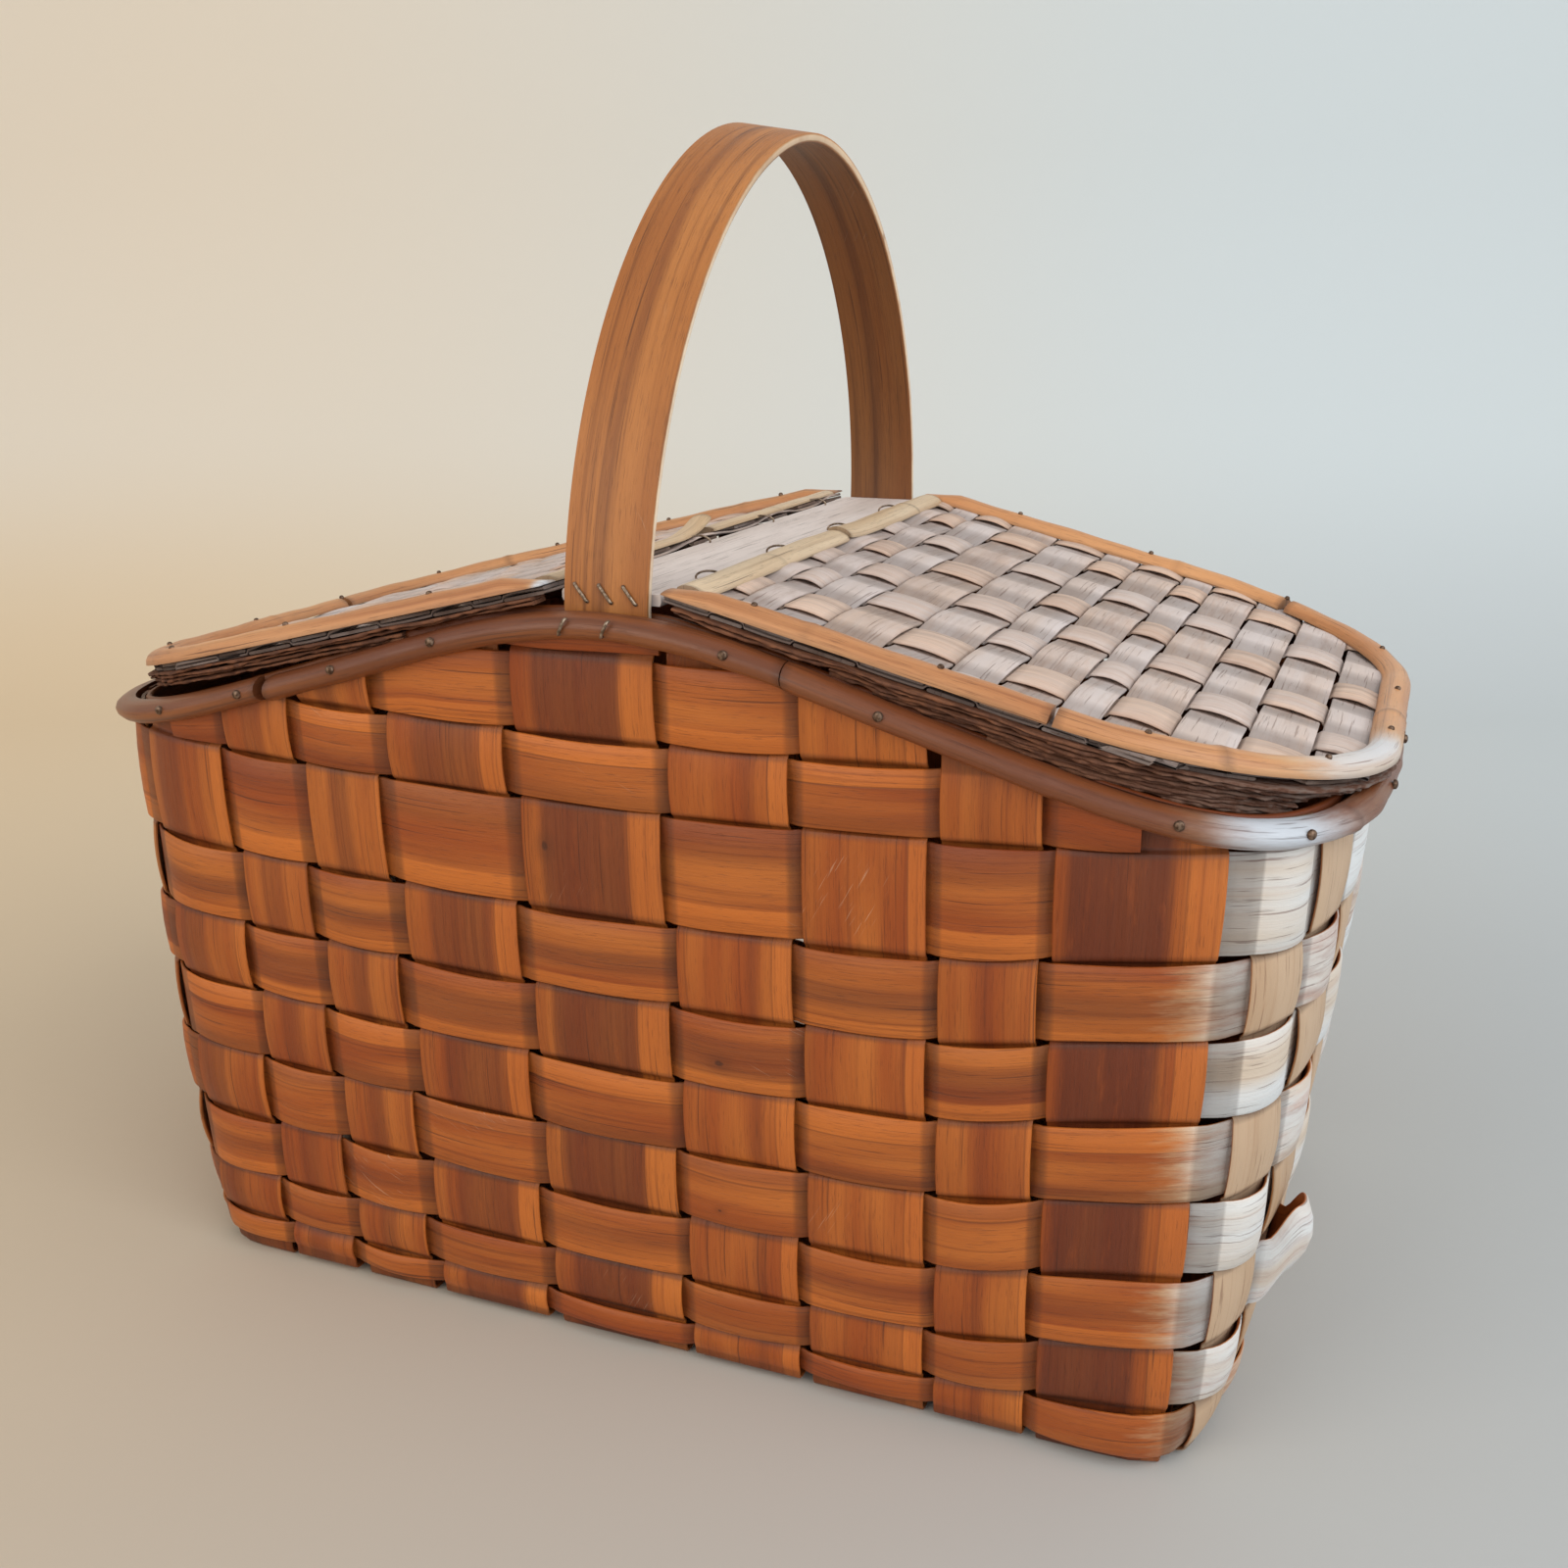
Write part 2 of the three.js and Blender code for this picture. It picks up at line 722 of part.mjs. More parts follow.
// Middle line of the handle in the plane across the basket, and how far it is twisted there.
function handleLine() {
  const line = [];
  const legHalf = rimHalfWidth - rimFace - handleThickness / 2;
  const footHalf = halfWidth(handleFoot) - rimFace - handleThickness / 2;
  const height = handleTop - handleThickness / 2 - handleSpring;
  line.push({ y: -footHalf, z: handleFoot, twist: 0 });
  for (let i = 0; i <= handleSteps; i += 1) {
    const turn = (Math.PI * i) / handleSteps;
    const across = Math.sign(Math.cos(turn)) * Math.abs(Math.cos(turn)) ** (2 / handlePower);
    const up = i === 0 || i === handleSteps ? 0 : Math.sin(turn) ** (2 / handlePower);
    const y = -legHalf * across + handleLean * up;
    line.push({ y, z: handleSpring + height * up, twist: handleTwist * up });
  }
  line.push({ y: footHalf, z: handleFoot, twist: 0 });
  return line;
}

// The handle's middle line and its slope at a height, on the front or the back leg.
function legPoint(z, sign) {
  const line = handleLine();
  const side = sign < 0 ? line : [...line].reverse();
  const above = side.findIndex((point) => point.z >= z);
  const a = side[above - 1];
  const b = side[above];
  const size = Math.hypot(b.y - a.y, b.z - a.z);
  const share = (z - a.z) / (b.z - a.z);
  return { y: a.y + (b.y - a.y) * share, ty: (b.y - a.y) / size, tz: (b.z - a.z) / size };
}

function handleArch() {
  const line = handleLine();
  const half = handleThickness / 2;
  const sections = line.map((point, i) => {
    const before = line[Math.max(i - 1, 0)];
    const after = line[Math.min(i + 1, line.length - 1)];
    const dy = after.y - before.y;
    const dz = after.z - before.z;
    const size = Math.hypot(dy, dz);
    const out = new THREE.Vector3(0, -dz / size, dy / size);
    const tangent = new THREE.Vector3(0, dy / size, dz / size);
    const across = new THREE.Vector3(1, 0, 0).applyAxisAngle(tangent, point.twist);
    out.applyAxisAngle(tangent, point.twist);
    const corner = (sideways, lift) => {
      const place = new THREE.Vector3(0, point.y, point.z);
      return place.addScaledVector(across, sideways).addScaledVector(out, lift).toArray();
    };
    const side = handleWidth / 2;
    return [corner(-side, half), corner(side, half), corner(side, -half), corner(-side, -half)];
  });
  return loft(sections, false);
}

// A slot through a flat piece, as a hole in its outline.
function slotHole(from, to, middle) {
  const hole = new THREE.Path();
  hole.moveTo(from, middle - slotWidth / 2);
  hole.lineTo(from, middle + slotWidth / 2);
  hole.lineTo(to, middle + slotWidth / 2);
  hole.lineTo(to, middle - slotWidth / 2);
  hole.closePath();
  return hole;
}

function plate(outline, holes, bottom, thickness) {
  const shape = new THREE.Shape(outline);
  shape.holes.push(...holes);
  const geometry = new THREE.ExtrudeGeometry(shape, {
    depth: thickness,
    bevelEnabled: false,
  });
  return geometry.translate(0, 0, bottom);
}

// How far from the hinge axis a wire loop passes at a height above or below it.
function loopReach(height) {
  return Math.sqrt(loopRadius ** 2 - height ** 2);
}

const slotMargin = wireRadius + slotClearance;

function board() {
  const top = hingeZ - boardDrop;
  const [frontEnd, backEnd] = [-1, 1].map((sign) => {
    const { y, tz } = legPoint(top, sign);
    return sign * (Math.abs(y) - handleThickness / 2 / tz - seatGap);
  });
  const outline = [
    new THREE.Vector2(-boardHalfWidth, frontEnd),
    new THREE.Vector2(boardHalfWidth, frontEnd),
    new THREE.Vector2(boardHalfWidth, backEnd),
    new THREE.Vector2(-boardHalfWidth, backEnd),
  ];
  const near = hingeX - loopReach(boardDrop + boardThickness) + slotMargin;
  const far = hingeX - loopReach(boardDrop) - slotMargin;
  const holes = [];
  for (const place of loopPlaces) {
    holes.push(slotHole(far, near, place), slotHole(-near, -far, -place));
  }
  return plate(outline, holes, top - boardThickness, boardThickness);
}

function wireLoop() {
  const ring = new THREE.TorusGeometry(loopRadius, wireRadius, wireSides, loopSteps);
  return ring.rotateX(Math.PI / 2);
}

// The lid's edge: out along one side, round the two far corners and back along the other side.
function lidEdge(inset, start, taper) {
  const radius = lidCorner - inset;
  const side = lidHalfWidth - inset;
  const straight = lidLength - lidCorner;
  const sideXs = [start];
  for (let i = 0; i < sideSteps; i += 1) {
    sideXs.push(start + taper + (straight - start - taper) * (i / sideSteps));
  }
  if (taper === 0) sideXs.shift();
  const points = sideXs.map((x) => ({ x, y: -side, nx: 0, ny: -1 }));
  for (const sign of [-1, 1]) {
    for (let i = 0; i <= arcSteps; i += 1) {
      const share = sign < 0 ? i / arcSteps : 1 - i / arcSteps;
      const turn = (Math.PI / 2) * (1 - share);
      const nx = Math.cos(turn);
      const ny = sign * Math.sin(turn);
      points.push({ x: straight + radius * nx, y: sign * (side - radius) + radius * ny, nx, ny });
    }
  }
  sideXs.reverse();
  return [...points, ...sideXs.map((x) => ({ x, y: side, nx: 0, ny: 1 }))];
}

// Height of the weave where a line along a splint across the lid meets one out from the hinge.
function weaveHeight(cross, out) {
  const outOnTop = (cross.number + out.number) % 2 === 1;
  if (out.part === "foot") return outOnTop ? -lidSplintDip : lidSplintRise;
  const bow = outOnTop ? lidOutBow : lidCrossBow;
  const [along, beside] = outOnTop ? [cross, out] : [out, cross];
  if (along.part !== "middle") return lidSplintRise;
  return lidSplintRise + bow * (beside.part === "middle" ? 1 : bowEdgeShare);
}

// The woven middle of a lid as a block that reaches below the lid. Beside each splint that runs out
// from the hinge a foot line shows the splints across where they come out from under it.
function weaveBlock() {
  const crossLines = lidCrossEdgeShares.flatMap(([first, second], i) => [
    { at: first * lidLength, number: i + 1, part: "edge" },
    { at: ((first + second) / 2) * lidLength, number: i + 1, part: "middle" },
    { at: second * lidLength, number: i + 1, part: "edge" },
  ]);
  const outLines = lidOutEdgeShares.flatMap(([first, second], i) => [
    { at: first * lidHalfWidth - splintEdgeStep, number: i + 1, part: "foot" },
    { at: first * lidHalfWidth, number: i + 1, part: "edge" },
    { at: ((first + second) / 2) * lidHalfWidth, number: i + 1, part: "middle" },
    { at: second * lidHalfWidth, number: i + 1, part: "edge" },
    { at: second * lidHalfWidth + splintEdgeStep, number: i + 1, part: "foot" },
  ]);
  const stations = crossLines.map((cross) =>
    outLines.map((out) => ({
      outer: [cross.at, out.at, weaveHeight(cross, out)],
      inner: [cross.at, out.at, -lidThickness],
    })),
  );
  return strip(stations, false, false);
}

function toManifold(geometry) {
  const bare = geometry.clone();
  bare.deleteAttribute("normal");
  bare.deleteAttribute("uv");
  const merged = mergeVertices(bare);
  const vertProperties = merged.attributes.position.array;
  const triVerts = Uint32Array.from(merged.index.array);
  return new wasm.Manifold(new wasm.Mesh({ numProp: 3, vertProperties, triVerts }));
}

function fromManifold(body) {
  const { vertProperties, triVerts, numProp } = body.getMesh();
  const geometry = new THREE.BufferGeometry();
  geometry.setAttribute("position", new THREE.Float32BufferAttribute(vertProperties, numProp));
  geometry.setIndex(Array.from(triVerts));
  geometry.computeVertexNormals();
  return geometry;
}

function flatOutline(inset, start) {
  return lidEdge(inset, start, 0).map(({ x, y }) => new THREE.Vector2(x, y));
}

// A lid's panel: a flat border under the rod and the hinge strips, and the weave between them.
function lidPanel() {
  const top = lidThickness / 2;
  const from = loopReach(top + seatGap + stripThickness) - slotMargin;
  const to = loopRadius + slotMargin;
  const holes = loopPlaces.map((place) => slotHole(from, to, place));
  const border = toManifold(plate(flatOutline(0, lidStart), holes, -top, lidThickness));
  const inset = lidRodWidth + seatGap;
  const start = lidStart + stripWidth + seatGap;
  const window = toManifold(plate(flatOutline(inset, start), [], -lidThickness, 2 * lidThickness));
  const wider = flatOutline(inset - weaveOverlap, start - weaveOverlap);
  const weaveWindow = toManifold(plate(wider, [], -top, top + weaveHeadroom));
  const weave = toManifold(weaveBlock()).intersect(weaveWindow);
  return fromManifold(border.subtract(window).add(weave));
}

// The half-round rod along the lid's edge, cut to a slant at its two ends beside the handle.
function lidRod() {
  const bottom = lidThickness / 2 + seatGap;
  const half = lidRodWidth / 2;
  const sections = lidEdge(half, lidRodStart, lidRodTaper).map(({ x, y, nx, ny }) => {
    const share = Math.min(1, (x - lidRodStart) / lidRodTaper);
    const height = lidRodTipHeight + (lidRodHeight - lidRodTipHeight) * share;
    const section = [];
    for (let i = 0; i < rodSides; i += 1) {
      const turn = (Math.PI * i) / (rodSides - 1);
      const reach = half * Math.cos(turn);
      section.push([x + nx * reach, y + ny * reach, bottom + height * Math.sin(turn)]);
    }
    return section;
  });
  return loft(sections, false);
}

function barkStrip() {
  const top = -lidThickness / 2 - seatGap;
  const half = barkWidth / 2;
  const sections = lidEdge(half, barkStart, 0).map(({ x, y, nx, ny }) => [
    [x + nx * half, y + ny * half, top],
    [x - nx * half, y - ny * half, top],
    [x - nx * half, y - ny * half, top - barkThickness],
    [x + nx * half, y + ny * half, top - barkThickness],
  ]);
  return loft(sections, false);
}

// A pale cane strip on the lid's hinge edge, from one place along the edge to another.
function hingeStrip(from, to) {
  const outline = [
    new THREE.Vector2(lidStart, from),
    new THREE.Vector2(lidStart + stripWidth, from),
    new THREE.Vector2(lidStart + stripWidth, to),
    new THREE.Vector2(lidStart, to),
  ];
  const bottom = lidThickness / 2 + seatGap;
  const near = loopReach(bottom + stripThickness) - slotMargin;
  const far = loopReach(bottom) + slotMargin;
  const holes = loopPlaces
    .filter((place) => place > from && place < to)
    .map((place) => slotHole(near, far, place));
  return plate(outline, holes, bottom, stripThickness);
}

function staple() {
  const straight = stapleLength - 2 * stapleRadius;
  return new THREE.CapsuleGeometry(stapleRadius, straight, stapleCapSteps, wireSides);
}

const basket = new THREE.Group();

function piece(parent, name, geometry, material) {
  const mesh = new THREE.Mesh(geometry, material);
  mesh.name = name;
  parent.add(mesh);
  return mesh;
}

crossSplints.forEach(({ name }, i) => {
  const material = i % 4 === 0 ? finishes.splintDark : finishes.splint;
  piece(basket, name, crossSplint(i), material);
});
endEdgeShares.forEach((edges, i) => {
  piece(basket, `lengthwise_splint_${i + 1}`, lengthSplint(i), finishes.splint);
});
rows.forEach((row, i) => {
  if (!row.ends) {
    piece(basket, `weaver_${i + 1}`, ringWeaver(i), finishes.splint);
    return;
  }
  for (const side of ["front", "back"]) {
    piece(basket, `weaver_${i + 1}_${side}`, shortWeaver(i, side), finishes.splint);
  }
});
piece(basket, "rim_rod", rimRod(), finishes.rimRod);
piece(basket, "rim_band_inner", rimBand(), finishes.splint);
piece(basket, "handle", handleArch(), finishes.handle);
piece(basket, "middle_board", board(), finishes.board);

for (const [side, sign] of [["front", -1], ["back", 1]]) {
  const stapleZ = handleSpring + stapleRise;
  const { y, ty, tz } = legPoint(stapleZ, sign);
  const lift = handleThickness / 2 + seatGap + stapleRadius;
  const upright = new THREE.Vector3(0, ty, tz).multiplyScalar(Math.cos(stapleTilt));
  const along = upright.setX(Math.sin(stapleTilt));
  for (const step of [-1, 0, 1]) {
    const pin = piece(basket, `staple_${side}_${step + 2}`, staple(), finishes.wire);
    pin.position.set(step * staplePitch, y + sign * lift * tz, stapleZ - sign * lift * ty);
    pin.quaternion.setFromUnitVectors(new THREE.Vector3(0, 1, 0), along);
  }
}

for (const [side, turn] of [["right", 0], ["left", Math.PI]]) {
  const hinge = new THREE.Group();
  hinge.position.set(side === "right" ? hingeX : -hingeX, 0, hingeZ);
  hinge.rotation.z = turn;
  basket.add(hinge);
  loopPlaces.forEach((place, i) => {
    piece(hinge, `wire_loop_${side}_${i + 1}`, wireLoop(), finishes.wire).position.y = place;
  });
  const lid = new THREE.Group();
  lid.rotation.y = lidSlope;
  hinge.add(lid);
  const stripEnd = lidHalfWidth - lidRodWidth - seatGap;
  piece(lid, `lid_panel_${side}`, lidPanel(), finishes.lidPanel);
  piece(lid, `lid_rod_${side}`, lidRod(), finishes.cane);
  piece(lid, `lid_bark_strip_${side}`, barkStrip(), finishes.bark);
  piece(lid, `hinge_strip_${side}_1`, hingeStrip(-stripEnd, stripJoint - seatGap / 2), finishes.paleCane);
  piece(lid, `hinge_strip_${side}_2`, hingeStrip(stripJoint + seatGap / 2, stripEnd), finishes.paleCane);
}

export default basket;
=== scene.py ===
# %% [markdown]
# # A picnic basket woven from wide wood splints
#
# The basket stands on thin strips of wood, called splints, that are woven over and under each
# other. Two flat lids turn on wire loops along a middle board, a split cane rod is bent round the
# rim, and one flat bent splint makes the handle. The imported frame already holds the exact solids.
# This script dresses them: every splint becomes a fine mesh that bows and tucks as wood does.

import math
import random

import bpy
import numpy as np
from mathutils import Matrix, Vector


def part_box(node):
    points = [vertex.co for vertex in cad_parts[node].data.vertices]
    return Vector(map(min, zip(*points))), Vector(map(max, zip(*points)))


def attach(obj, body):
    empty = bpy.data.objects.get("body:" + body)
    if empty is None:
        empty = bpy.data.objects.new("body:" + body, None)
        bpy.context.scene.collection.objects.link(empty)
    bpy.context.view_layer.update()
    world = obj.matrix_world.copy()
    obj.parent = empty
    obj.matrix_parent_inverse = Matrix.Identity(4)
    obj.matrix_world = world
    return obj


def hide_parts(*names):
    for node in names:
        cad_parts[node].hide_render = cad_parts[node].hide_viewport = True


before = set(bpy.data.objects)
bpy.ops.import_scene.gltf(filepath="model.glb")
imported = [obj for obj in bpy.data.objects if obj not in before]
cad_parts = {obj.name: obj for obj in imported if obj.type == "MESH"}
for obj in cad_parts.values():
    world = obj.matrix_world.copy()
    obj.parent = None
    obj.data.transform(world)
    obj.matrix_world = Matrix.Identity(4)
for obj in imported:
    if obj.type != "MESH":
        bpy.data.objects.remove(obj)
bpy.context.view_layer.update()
MM = 0.001

# %% [markdown]
# ## The shape of the wall
#
# The woven wall has a plan with flat long sides and rounded ends, and it opens out towards the
# rim. Such a form can be written as one formula: a superellipse for each end, whose corner gets
# softer with height. Every splint is then placed by two numbers, its distance round the wall and
# its height, so strips that cross always follow the same surface.

# %% Sizes of the wall
FLAT_HALF = 140
FLOOR_HALF_LENGTH = 182
RIM_HALF_LENGTH = 214
FLOOR_HALF_WIDTH = 118
RIM_HALF_WIDTH = 131
RIM_END_HEIGHT = 207
RIM_MIDDLE_HEIGHT = 254.5
RIM_SPAN = 222
CROWN_SPAN = 100
CROWN_SHARE = 0.1
FLARE_POWER = 0.5
FLOOR_CORNER_POWER = 6.8
RIM_CORNER_POWER = 3.4
SOFTENING_POWER = 0.6
CURVE_STEPS = 240
LOW_STEP = 0.5
LOW_HEIGHT = 20
HIGH_STEP = 2
ABOVE_RIM = 10


def height_share(z):
    return np.clip(z / RIM_END_HEIGHT, 0, 1)


def half_length(z):
    return FLOOR_HALF_LENGTH + (RIM_HALF_LENGTH - FLOOR_HALF_LENGTH) * height_share(z) ** FLARE_POWER


def half_width(z):
    return FLOOR_HALF_WIDTH + (RIM_HALF_WIDTH - FLOOR_HALF_WIDTH) * z / RIM_MIDDLE_HEIGHT


def corner_power(z):
    softer = height_share(z) ** SOFTENING_POWER
    return FLOOR_CORNER_POWER + (RIM_CORNER_POWER - FLOOR_CORNER_POWER) * softer


def end_curve(z):
    """Distance along the wall, x and y for a quarter of the plan at a height."""
    turn = np.linspace(0, math.pi / 2, CURVE_STEPS + 1)
    x = FLAT_HALF + (half_length(z) - FLAT_HALF) * np.sin(turn) ** (2 / corner_power(z))
    y = -half_width(z) * np.cos(turn) ** (2 / corner_power(z))
    y[-1] = 0
    along = FLAT_HALF + np.concatenate([[0], np.cumsum(np.hypot(np.diff(x), np.diff(y)))])
    return along, x, y


low_heights = np.arange(0, LOW_HEIGHT, LOW_STEP)
PLAN_HEIGHTS = np.concatenate([low_heights, np.arange(LOW_HEIGHT, RIM_MIDDLE_HEIGHT + ABOVE_RIM, HIGH_STEP)])
PLANS = [end_curve(z) for z in PLAN_HEIGHTS]
QUARTERS = np.array([plan[0][-1] for plan in PLANS])
print("a quarter of the rim is", round(QUARTERS[-1]), "mm round")

# %% A point of the wall from its distance round and its height


def quarter(z):
    return np.interp(z, PLAN_HEIGHTS, QUARTERS)


def fold(s, z):
    """Brings a distance round the wall back to one quarter: sign in x, distance, on the back."""
    whole = quarter(z)
    s = s - 4 * whole * np.round(s / (4 * whole))
    along = np.abs(s)
    back = along > whole
    return np.where(s < 0, -1.0, 1.0), np.where(back, 2 * whole - along, along), back


def plan_point(s, z):
    s, z = np.broadcast_arrays(np.asarray(s, float), np.asarray(z, float))
    side, along, back = fold(s, z)
    share = np.clip((along - FLAT_HALF) / (quarter(z) - FLAT_HALF), 0, 1)
    low = np.clip(np.searchsorted(PLAN_HEIGHTS, z, side="right") - 1, 0, len(PLANS) - 2)
    part = (z - PLAN_HEIGHTS[low]) / (PLAN_HEIGHTS[low + 1] - PLAN_HEIGHTS[low])
    x = np.zeros_like(along)
    y = np.zeros_like(along)
    for row in np.unique(low):
        here = low == row
        for plan, weight in ((PLANS[row], 1 - part[here]), (PLANS[row + 1], part[here])):
            table, xs, ys = plan
            at = FLAT_HALF + share[here] * (table[-1] - FLAT_HALF)
            at = np.where(along[here] <= FLAT_HALF, along[here], at)
            x[here] += weight * np.where(at <= FLAT_HALF, at, np.interp(at, table, xs))
            y[here] += weight * np.interp(at, table, ys)
    return x * side, np.where(back, -y, y)


def wall(s, z, lift):
    """Points and outward directions on the wall, lifted off its middle surface."""
    s, z = np.broadcast_arrays(np.asarray(s, float), np.asarray(z, float))
    x, y = plan_point(s, z)
    x1, y1 = plan_point(s - 1, z)
    x2, y2 = plan_point(s + 1, z)
    out = np.stack([y2 - y1, x1 - x2, np.zeros_like(x)], -1)
    out /= np.linalg.norm(out, axis=-1, keepdims=True)
    return np.stack([x, y, z], -1) + out * np.asarray(lift)[..., None], out


def smooth(share):
    return share * share * (3 - 2 * share)


def swell(x, span):
    return (1 + np.cos(math.pi * np.minimum(np.abs(x), span) / span)) / 2


def rim_height(x):
    share = (1 - CROWN_SHARE) * swell(x, RIM_SPAN) + CROWN_SHARE * swell(x, CROWN_SPAN)
    return RIM_END_HEIGHT + (RIM_MIDDLE_HEIGHT - RIM_END_HEIGHT) * share


# %% [markdown]
# ## Where the splints run
#
# A basket of this kind starts as a mat: wide splints are woven crosswise for the floor, their
# ends are turned up to be the uprights of the walls, and weavers go round them row by row. The
# tables below say where the edges of each splint lie. On the front a row is outside an upright
# when their numbers are both odd or both even, which is all that a plain weave needs.

# %% Uprights and rows
CORNER = 176
CORNER_GAP = 3.5
CORNER_LEAN = 7
CROSS_EDGES = [
    (-176, -148), (-144, -118), (-113, -85), (-79, -37), (-32, 16), (20, 58), (62, 100), (104, 133),
    (137, 176),
]
END_SHARES = [
    (-0.95, -0.8), (-0.765, -0.575), (-0.535, -0.31), (-0.265, -0.035),
    (0.035, 0.265), (0.31, 0.535), (0.575, 0.765), (0.8, 0.95),
]
ROW_EDGES = [
    (246.5, 257), (220, 244), (198, 218), (161.5, 196.5), (134, 159.5), (108, 132), (82, 106),
    (57, 80.5), (33, 54.5), (15.5, 31), (5.2, 13.5),
]
ROW_ENDS = {0: ((5, -0.05), (5, 1.05)), 1: ((3, 0.15), (7, 0.85)), 2: ((1, 0.5), (9, 0.5))}
LONG_WALLS = ("front", "back")
TURNED_WALLS = ("back", "left")
print("splints across:", len(CROSS_EDGES), "lengthwise:", len(END_SHARES), "rows:", len(ROW_EDGES))

# %% Uprights in order round the basket


def uprights_round():
    """Every upright in order round the basket: wall, number, first and second edge, leans."""
    order = []
    for wall_name in ("front", "right", "back", "left"):
        is_long = wall_name in LONG_WALLS
        edges = CROSS_EDGES if is_long else END_SHARES
        found = []
        for number, pair in enumerate(edges, 1):
            first_lean = -CORNER_LEAN if is_long and number == 1 else 0
            second_lean = CORNER_LEAN if is_long and number == len(edges) else 0
            odd = (number % 2 == 1) == (wall_name == "front")
            lean = (first_lean, second_lean)
            found.append({"wall": wall_name, "number": number, "edges": pair, "lean": lean, "odd": odd})
        order += found[::-1] if wall_name in TURNED_WALLS else found
    return order


UPRIGHTS = uprights_round()


def round_distance(upright, share, z):
    """Distance round the wall of a place at a share of an upright's width, low edge first."""
    first, second = upright["edges"]
    between = first + (second - first) * share
    whole = quarter(z)
    if upright["wall"] in LONG_WALLS:
        lean = upright["lean"][0] * (1 - share) + upright["lean"][1] * share
        along = between + lean * z / RIM_END_HEIGHT
        return along if upright["wall"] == "front" else 2 * whole - along
    span = whole - (CORNER + CORNER_GAP + CORNER_LEAN * z / RIM_END_HEIGHT)
    if upright["wall"] == "right":
        return whole + between * span
    return 3 * whole - between * span


def crosses(row, upright):
    """The three highest rows are short and lie in the middle of the long walls only."""
    if row not in ROW_ENDS:
        return True
    if upright["wall"] not in LONG_WALLS:
        return False
    (a, a_share), (b, b_share) = ROW_ENDS[row]
    low, high = upright["edges"]
    return high > row_place(a, a_share) and low < row_place(b, b_share)


def row_place(splint, share):
    first, second = CROSS_EDGES[splint - 1]
    return first + (second - first) * share


def outside(row, upright):
    return (row % 2 == 0) == upright["odd"]


print("uprights round the basket:", len(UPRIGHTS))

# %% [markdown]
# The rows of this basket don't lie level. They were pushed up as they were woven, a little towards
# every corner and by a centimetre and more round the right end. So a rise that grows smoothly
# towards the corner is added to the height of every edge, and the rows stay side by side.

# %% How the rows climb
ROW_RISE = 7
RISE_BASE = 0.3
RISE_REACH = 150
CLIMB_START = 95
CLIMB_REACH = 42
CLIMB_MORE = 0.45
CLIMB_HEIGHTS = [0, 5.2, 13.5, 31, 54, 80, 132, 159.5, 175, 200]
CLIMBS = [-3, -3, 5, 9, 10, 8.5, 8, 5, 1.5, 0]
ROW_OVER_RIM = 3


def right_climb(height, side, along, back, z):
    """Round the right end the rows of this basket were pushed up more than anywhere else."""
    extra = np.interp(height, CLIMB_HEIGHTS, CLIMBS)
    to_corner = smooth(np.clip((along - CLIMB_START) / (CORNER - CLIMB_START), 0, 1))
    past_corner = smooth(np.clip((along - CORNER) / CLIMB_REACH, 0, 1))
    to_middle = np.clip((quarter(z) - along) / (quarter(z) - CORNER), 0, 1)
    front = to_corner * (1 + CLIMB_MORE * past_corner)
    behind = (1 + CLIMB_MORE) * (1 - smooth(to_middle))
    return extra * np.where(side > 0, np.where(back, behind, front), 0)


def row_edge(height, s, z):
    """Rows climb a little from the middle of the long wall to the corners."""
    side, along, back = fold(s, z)
    reach = np.minimum(along / CORNER, 1)
    rise = ROW_RISE * min(1, RISE_BASE + height / RISE_REACH) * reach**2
    return height + rise + right_climb(height, side, along, back, z)


def row_top(row, s, z):
    x, _ = plan_point(s, np.full_like(np.asarray(s, float), RIM_END_HEIGHT))
    return np.minimum(row_edge(ROW_EDGES[row][1], s, z), rim_height(x) + ROW_OVER_RIM)


print("the rows climb up to", max(CLIMBS) * (1 + CLIMB_MORE), "mm more at the right end")

# %% [markdown]
# ## One strip of wood
#
# Every splint is the same thing in Blender: a grid of points along and across the strip, given a
# thickness, with slightly eased edges. Besides its shape, each point keeps what the wood finish
# needs: how far it is along and across the grain, where the dark heartwood runs, how bleached the
# wood is, where a painted highlight lies on the cane rods, and how dark it is painted for old
# varnish and for shade in crossings, gaps and creases. Keeping these on the mesh lets one
# material serve every strip without two of them looking alike.

# %% From points to a piece
SHARP = math.radians(55)


def hand_in(piece, body, nodes):
    """Puts a piece on the body that it rides on, and hides the solids that it stands for."""
    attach(piece, body)
    if nodes:
        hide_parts(*nodes)
    return piece


def volume_sign(points, faces):
    fans = [(f[0], f[k], f[k + 1]) for f in faces for k in range(1, len(f) - 1)]
    a, b, c = (points[np.array(fans)[:, k]] for k in range(3))
    return np.einsum("ij,ij->", a, np.cross(b, c))


def new_piece(name, points, faces, material, notes):
    points = np.asarray(points, float).reshape(-1, 3)
    if volume_sign(points, faces) < 0:
        faces = [face[::-1] for face in faces]
    mesh = bpy.data.meshes.new(name)
    mesh.from_pydata((points * MM).tolist(), [], faces)
    for key, values in notes.items():
        layer = mesh.attributes.new(key, "FLOAT_VECTOR", "POINT")
        layer.data.foreach_set("vector", np.asarray(values, np.float32).ravel())
    mesh.shade_smooth()
    mesh.set_sharp_from_angle(angle=SHARP)
    mesh.materials.append(material)
    piece = bpy.data.objects.new(name, mesh)
    bpy.context.collection.objects.link(piece)
    return piece


